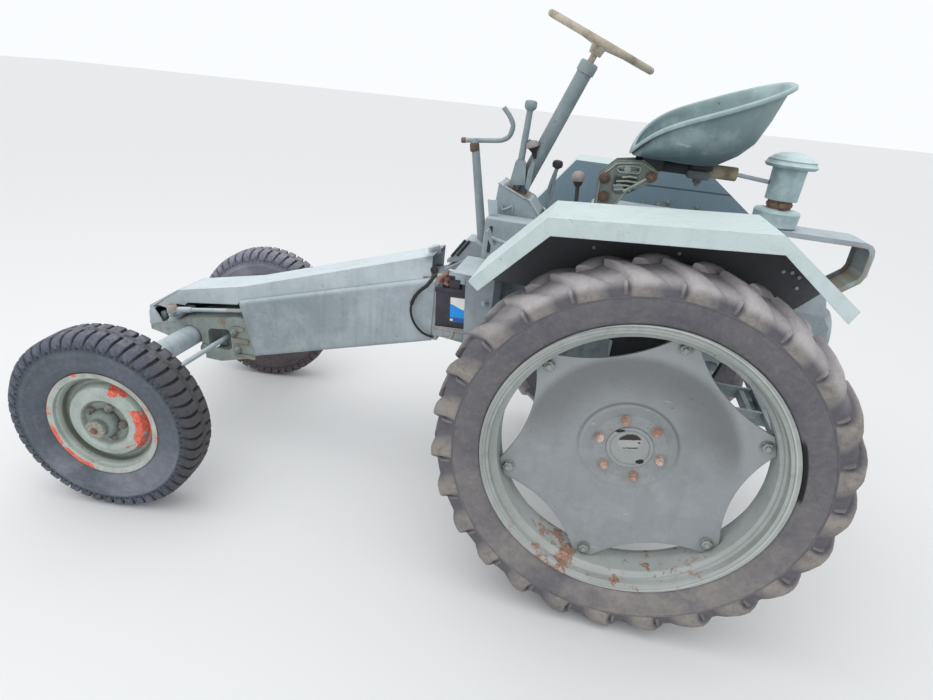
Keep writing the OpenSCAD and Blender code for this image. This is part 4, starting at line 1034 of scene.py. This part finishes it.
# Black parts: the mushroom knob's stem on the column, the far lever's squat knob, the near lever's
# shaft with its ferrule, and a black block of painted shade for a slot in the console's side
lever_black = plain("lever_black", "26272b", "4a4743", 0.5, dust=0.4)
knob_tan = plain("worn_knob", "8d8583", "b7aba6", 0.45, grain=240.0, dust=0.6)
mushroom = facing((-524, -34, 1540), (-0.35, -0.15, 1))
near_knob = facing((-339, -80, 1462), (-0.08, 0, 1))
mesh = bmesh.new()
turned(mesh, [(0.006, -0.040), (0.009, -0.016), (0.016, -0.004), (0.022, 0.0025)], 24, mushroom)
turned(mesh, [(0.010, -0.016), (0.019, -0.010), (0.021, 0.002), (0.017, 0.012),
              (0.008, 0.015)], 24, facing((-429, 40, 1486), (0, 0, 1)))
swept(mesh, [at(-312, -80, 1130), at(-338, -80, 1452)], 0.0078)
turned(mesh, [(0.009, -0.032), (0.014, -0.026), (0.0195, -0.012)], 24, near_knob)
# A black block for the slot's shade: painted shade
block(mesh, (-621, -202, 1166), (-609, -199.5, 1264), 1.0)
build("lever_blacks", mesh, lever_black, "chassis", "cast_paint")
# Their worn knobs
mesh = bmesh.new()
turned(mesh, [(0.014, -0.017), (0.0215, -0.010), (0.0240, 0.002), (0.0215, 0.013),
              (0.013, 0.0215), (0.004, 0.0240)], 28, near_knob)
turned(mesh, [(0.021, 0.002), (0.0240, 0.005), (0.0240, 0.012), (0.019, 0.021),
              (0.007, 0.025)], 28, mushroom)
build("lever_knobs", mesh, knob_tan, "chassis", "cast_paint")
# The crank's post and handle are thicker than plain rod, and a rusty knuckle joins them
mesh = bmesh.new()
swept(mesh, [at(-668, 0, 1104), at(-748, 0, 1520)], [0.0185, 0.0155])
handle = smooth_line([at(*p) for p in ((-800, 0, 1530), (-752, 0, 1535), (-700, 0, 1541),
                                       (-650, 0, 1548), (-622, 0, 1566), (-613, 0, 1604),
                                       (-630, 0, 1636), (-656, 0, 1663))], 5)
swept(mesh, handle, 0.0090)
build("crank_bars", mesh, column_paint, "chassis", "cast_paint")
mesh = bmesh.new()
turned(mesh, [(0.0160, -0.030), (0.0185, -0.026), (0.0185, -0.004), (0.0155, 0.002)], 20,
       facing((-752, 0, 1524), (-0.19, 0, 1)))
turned(mesh, [(0.0085, 0), (0.0105, 0.002), (0.0105, 0.016), (0.0085, 0.018)], 16,
       facing((-804, 0, 1529.7), (1, 0, 0.1)))
build("crank_knuckle", mesh, rusty_iron, "chassis", "cast_paint")
# A bent wire on the pedestal's side, an angle bracket ahead of it and the pedestal's pale rim
mesh = bmesh.new()
wire = [at(*p) for p in ((-604, -84, 1322), (-598, -86, 1308), (-572, -86, 1322), (-566, -86, 1328),
                         (-560, -84, 1306))]
swept(mesh, smooth_line(wire, 4), 0.0035, 8)
plate(mesh, [(-640, 1290), (-651, 1345), (-614, 1351), (-606, 1290)], -140, -137)
plate(mesh, [(-640, 1290), (-651, 1345), (-648, 1345), (-637, 1290)], -137, -112)
for y in (-79, 79):
    swept(mesh, [at(-628, y, 1403), at(-500, y, 1352), at(-447, y, 1290)], 0.0035, 8)
build("pedestal_trim", mesh, rod_paint, "chassis", "body_paint")

# Battery
# A black plastic case with a lid, a printed label of plain colour blocks and a rusty post clamp. It
# stands in an open tray beside the beam, and a painted strap holds it down.
case_black = plain("battery_plastic", "2f2c38", "56525e", 0.42, grain=260.0, dust=0.35)
dress(case_black, "battery")
tray_place = (body_stand @ Matrix.Translation((-0.768, -0.292, 0.856))
              @ Matrix.Rotation(math.radians(-3.5), 4, "Y"))
label = Finish("battery_label")
across, height = label.place.part("X"), label.place.part("Z")
wave = across.sum("SINE", across * 75.0)
slanting = height + across * 0.22 + 0.004 * wave
print_colour = slanting.rise(0.1210, 0.1225).tint(hue("00a0ff"), hue("f6f4ef"))
print_colour = (1.0 - height.rise(0.060, 0.062)).tint(print_colour, hue("125fae"))
small_block = ((1.0 - across.rise(0.068, 0.070)) * (1.0 - height.rise(0.054, 0.056))
               * height.rise(0.045, 0.047))
print_colour = small_block.tint(print_colour, hue("e9ebe8"))
grubby = label.place.noise(60.0, 5.0, 0.7).rise(0.52, 0.7) * 0.4
label.set(Base_Color=grubby.tint(print_colour, hue("6c6a70")), Roughness=0.42)
mesh = bmesh.new()
block(mesh, (57, -0.8, 42), (113, 1.0, 139), 0.4, place=Matrix())
build("battery_label_plate", mesh, label.material, "chassis", "battery_case", place=tray_place)
# The case's upright ribs and its lid
mesh = bmesh.new()
for x in range(8, 189, 20):
    block(mesh, (x - 2, -2.2, 6), (x + 2, 0.5, 36), 0.5, place=tray_place)
block(mesh, (-4.5, -3.5, 156), (204.5, 172.5, 161), 1.0, place=tray_place)
build("battery_case_ribs", mesh, case_black, "chassis", "battery_case")
# The clamp round the post, with its bolt and its two lugs
clamp_rust = plain("clamp_rust", "8d6a5b", "b59a8c", 0.75, grain=120.0, depth=0.0016, dust=0.8)
mesh = bmesh.new()
turned(mesh, [(0.0165, -0.012), (0.0185, -0.009), (0.0170, 0.008), (0.0120, 0.013)], 14,
       facing((-747, -256, 1062), (0, -0.3, 1)))
upper_lug = [at(*p) for p in ((-772, -268, 1052), (-762, -272, 1066), (-744, -276, 1082),
                              (-738, -276, 1096))]
swept(mesh, upper_lug, [0.006, 0.009, 0.008, 0.005], 10)
nuts(mesh, [facing((-770, -264, 1052), (-0.2, -1, -0.3))], 0.016, 0.012)
swept(mesh, [at(-752, -274, 1046), at(-736, -276, 1036)], [0.009, 0.006], 10)
build("battery_clamp", mesh, clamp_rust, "chassis", "cast_paint")
# The cable's cream sleeve at the clamp, then uneven turns of black tape, and the rubber grommet in
# the cover's side
sleeve_cream = plain("cable_sleeve", "bdb4a4", "857d70", 0.55, grain=260.0)
mesh = bmesh.new()
swept(mesh, cable_line[1:7], [0.0060, 0.0078, 0.0078, 0.0078, 0.0078, 0.0065], 14)
build("cable_sleeve", mesh, sleeve_cream, "chassis", "cable_cover")
mesh = bmesh.new()
taped = cable_line[6:30]
swept(mesh, taped, [0.0074 + 0.0008 * math.sin(2.1 * k) for k in range(len(taped))], 14)
turned(mesh, [(0.012, 0), (0.0165, 0.002), (0.0165, 0.007), (0.010, 0.009)], 24,
       facing((-838, -100, 1033), (0, -1, 0)))
build("cable_tape_turns", mesh, cable_tape, "chassis", "cable_cover")
# The strap that holds the battery down, and the tray's rusty lip with a bent hook
mesh = bmesh.new()
block(mesh, (-744, -279, 1076), (-640, -262, 1097), 1.5)
block(mesh, (-712, -281, 1050), (-672, -262, 1078), 1.5)
nuts(mesh, [facing((-588, -303, 1002), (0, -1, 0))], 0.017, 0.010)
build("battery_hold_down", mesh, rod_paint, "chassis", "cast_paint")
tray_rust = plain("tray_rust", "9c867c", "c0b3aa", 0.7, grain=160.0, dust=0.8)
hook = [at(*p) for p in ((-694, -303, 866), (-698, -303, 848), (-712, -303, 838),
                         (-730, -303, 840))]
mesh = bmesh.new()
block(mesh, (-775, -304, 866), (-566, -298, 874), 1.5)
swept(mesh, smooth_line(hook, 4), 0.0035, 8)
build("battery_tray_lip", mesh, tray_rust, "chassis", "cast_paint")

# Front bracket and drag link fittings
# Hexagon bolts hold the cast bracket in the beam's mouth and the beam to the gearbox. Clamp bars
# caked with dirt lie across the bracket's cheeks, and the drag link ends in a ball joint.
ball_rust = Finish("ball_rust")
top_rust = ball_rust.facing.rise(0.3, 0.8) * ball_rust.place.noise(60.0, 4.0).rise(0.3, 0.5)
ball_rust.set(Base_Color=top_rust.tint(hue("a9aaa2"), hue("a5806c")), Roughness=0.65)
mesh = bmesh.new()
for way in (-1, 1):
    nuts(mesh, [facing((x, way * 105, z), (0, way, 0)) for x, z in (
        (-1750, 583), (-1734, 499), (-1905, 476))], 0.030, 0.018, washer=1.15)
    nuts(mesh, [facing((-801, way * 109, z), (1, 0, 0)) for z in (770, 850, 930, 1000)], 0.022,
         0.014)
    nuts(mesh, [facing((x, way * 150, z), (0, way, 0)) for x in (-200, -60, 80, 170)
                for z in (740, 1075)], 0.019, 0.012)
build("chassis_bolts", mesh, painted_bolt, "chassis", "cast_paint")
# The clamp bars at each cheek's rear end
dried_dirt = plain("dried_dirt", "8a8a7c", "aaa898", 0.75, grain=120.0, depth=0.0012, dust=0.8)
mesh = bmesh.new()
for way in (-1, 1):
    for corner_a, corner_b in (((-1768, 530), (-1678, 556)), ((-1752, 462), (-1648, 482)),
                               ((-1752, 590), (-1700, 612))):
        y = sorted((way * 103, way * 112))
        block(mesh, (corner_a[0], y[0], corner_a[1]), (corner_b[0], y[1], corner_b[1]), 3.0)
build("bracket_clamps", mesh, dried_dirt, "chassis", "cast_paint")
# The drag link's ball housing, rusty on top, the nut under it and a round-headed pin ahead
ball = (-2035.9, -141.5)
mesh = bmesh.new()
turned(mesh, [(0.0105, 0.0), (0.0185, 0.0), (0.0220, 0.005), (0.0220, 0.033), (0.0190, 0.039),
              (0.0105, 0.041)], 28, facing((*ball, 635), (0, 0, 1)), closed=True)
build("drag_link_ball", mesh, ball_rust.material, "drag_link", "cast_paint")
mesh = bmesh.new()
nuts(mesh, [facing((*ball, 604), (0, 0, -1))], 0.024, 0.014)
build("steer_lever_nut", mesh, rod_paint, "steer_lever", "cast_paint")
mesh = bmesh.new()
turned(mesh, [(0.014, -0.045), (0.015, -0.012), (0.0165, -0.006), (0.015, 0.010),
              (0.008, 0.016)], 20, facing((-2143, -62, 583), (0, 0, 1)))
build("bracket_knob", mesh, rod_paint, "chassis", "cast_paint")

# Nose of the cover
# The cover's folded sheet comes down at its nose as a front and a strip on each side, welded at the
# edges. Behind the strips a black liner is painted shade for the hollow that the steering lever
# swings in.
shade_black = plain("shade_black", "1e1f22", "36363a", 0.8, grain=120.0)
mesh = bmesh.new()
for way in (-1, 1):
    y = sorted((way * 98.5, way * 101.5))
    plate(mesh, [(-2181, 630), (-2192, 539), (-2178, 535), (-2166, 629)], *y)
    plate(mesh, [(-2166, 629), (-2178, 535), (-2124, 552), (-2128, 572)], *y)
    plate(mesh, [(-2030, 733), (-2184, 632), (-2182, 626), (-2166, 630), (-2030, 729)],
          *sorted((way * 98.9, way * 101.9)))
skin(mesh, [[at(-2184, y, 632), at(-2195, y, 538), at(-2192, y, 538), at(-2181, y, 632)]
            for y in (-101, 101)])
skin(mesh, [[at(-2029, y, 734), at(-2185, y, 632), at(-2183, y, 630), at(-2029, y, 732)]
            for y in (-101, 101)])
build("cover_nose_sides", mesh, cover_paint, "chassis", "body_paint")
# The black liner inside the nose is painted shade for its hollow
mesh = bmesh.new()
skin(mesh, [[at(-2181.5, y, 622), at(-2191.5, y, 540), at(-2190.5, y, 540), at(-2180.5, y, 622)]
            for y in (-98, 98)])
plate(mesh, [(-2175, 560), (-2165, 626), (-1990, 668), (-1720, 705), (-1720, 600), (-2020, 585)],
      88, 91)
build("cover_liner", mesh, shade_black, "chassis", "body_paint")

# Air cleaner's clamp and cap
# A rusty steel band with an ear goes round the cleaner's neck. The pressed cap is turned over at
# its edge, which leaves a seam all round.
cleaner = facing((374, 0, 1380), (0, 0, 1))
mesh = bmesh.new()
turned(mesh, [(0.0385, 0.064), (0.0405, 0.065), (0.0405, 0.090), (0.0385, 0.091)], 36, cleaner,
       closed=True)
turned(mesh, [(0.0400, 0.072), (0.0440, 0.073), (0.0440, 0.083), (0.0400, 0.084)], 36, cleaner,
       closed=True)
block(mesh, (360, -60, 1450), (388, -42, 1466), 2.0)
build("cleaner_clamp", mesh, rusty_iron, "chassis", "cast_paint")
mesh = bmesh.new()
turned(mesh, [(0.079, 0.2035), (0.0805, 0.204), (0.0865, 0.2115), (0.0865, 0.2145),
              (0.0835, 0.2165), (0.078, 0.229), (0.079, 0.225)], 48, cleaner, closed=True)
build("cleaner_cap_seam", mesh, cleaner_paint, "chassis", "body_paint")

# Apron and mudguard bolts
# A sheet apron closes the gap between the cover's end and the console, with two black rubber
# strips along it. Round-headed bolts and hexagon ones go through the guards' inner panels.
mesh = bmesh.new()
plate(mesh, [(-800, 1075), (-783, 1090), (-734, 1163), (-690, 1163), (-650, 1140), (-650, 1100),
             (-800, 1060)], -62, 62)
build("console_apron", mesh, sheet_paint, "chassis", "body_paint")
mesh = bmesh.new()
for x0, z0, x1, z1 in ((-783, 1090, -734, 1163), (-760, 1096, -716, 1163)):
    swept(mesh, [at(x0, -63, z0), at(x1, -63, z1)], 0.0055, 8)
build("weather_strips", mesh, black_rubber, "chassis", "cable_cover")
mesh = bmesh.new()
for way in (-1, 1):
    for x, z in ((324, 1318), (349, 1319), (372, 1308), (375, 1275), (18, 1323), (-240, 1300)):
        turned(mesh, [(0.0060, 0), (0.0060, 0.003), (0.0035, 0.005)], 12,
               facing((x, way * 441, z), (0, way, 0)))
build("guard_rivets", mesh, rod_paint, "chassis", "body_paint")
mesh = bmesh.new()
for x, z in ((-58, 1328), (7, 1334), (46, 1350), (173, 1343)):
    for way in (-1, 1):
        nuts(mesh, [facing((x, way * 438, z), (0, -way, 0))], 0.015, 0.009)
build("guard_inner_bolts", mesh, painted_bolt, "chassis", "cast_paint")

# Floor and light
# The floor is pale studio paper that runs off to the horizon, under a plain pale sky that lights
# the tractor from all round. One broad soft lamp hangs overhead, a little to the near side.
mesh = bmesh.new()
bmesh.ops.create_grid(mesh, x_segments=1, y_segments=1, size=60)
floor_data = bpy.data.meshes.new("floor")
mesh.to_mesh(floor_data)
mesh.free()
floor = bpy.data.objects.new("floor", floor_data)
bpy.context.scene.collection.objects.link(floor)
paper = Finish("floor_paper")
paper.set(Base_Color=(0.83, 0.83, 0.83, 1.0), Roughness=0.9)
floor_data.materials.append(paper.material)

world = bpy.data.worlds.new("studio")
bpy.context.scene.world = world
world.use_nodes = True
sky = world.node_tree.nodes["Background"]
sky.inputs["Color"].default_value = (0.96, 0.98, 1.0, 1.0)
sky.inputs["Strength"].default_value = 1.0

lamp = bpy.data.objects.new("overhead", bpy.data.lights.new("overhead", "AREA"))
bpy.context.scene.collection.objects.link(lamp)
lamp.data.shape = "RECTANGLE"
lamp.data.size, lamp.data.size_y = 5.0, 4.0
lamp.data.energy = 62
lamp.location = (-0.8, -1.4, 5.0)
lamp.rotation_euler = (Vector((0.2, 0, 0.6)) - lamp.location).to_track_quat("-Z", "Y").to_euler()

bpy.context.scene.view_settings.view_transform = "Standard"
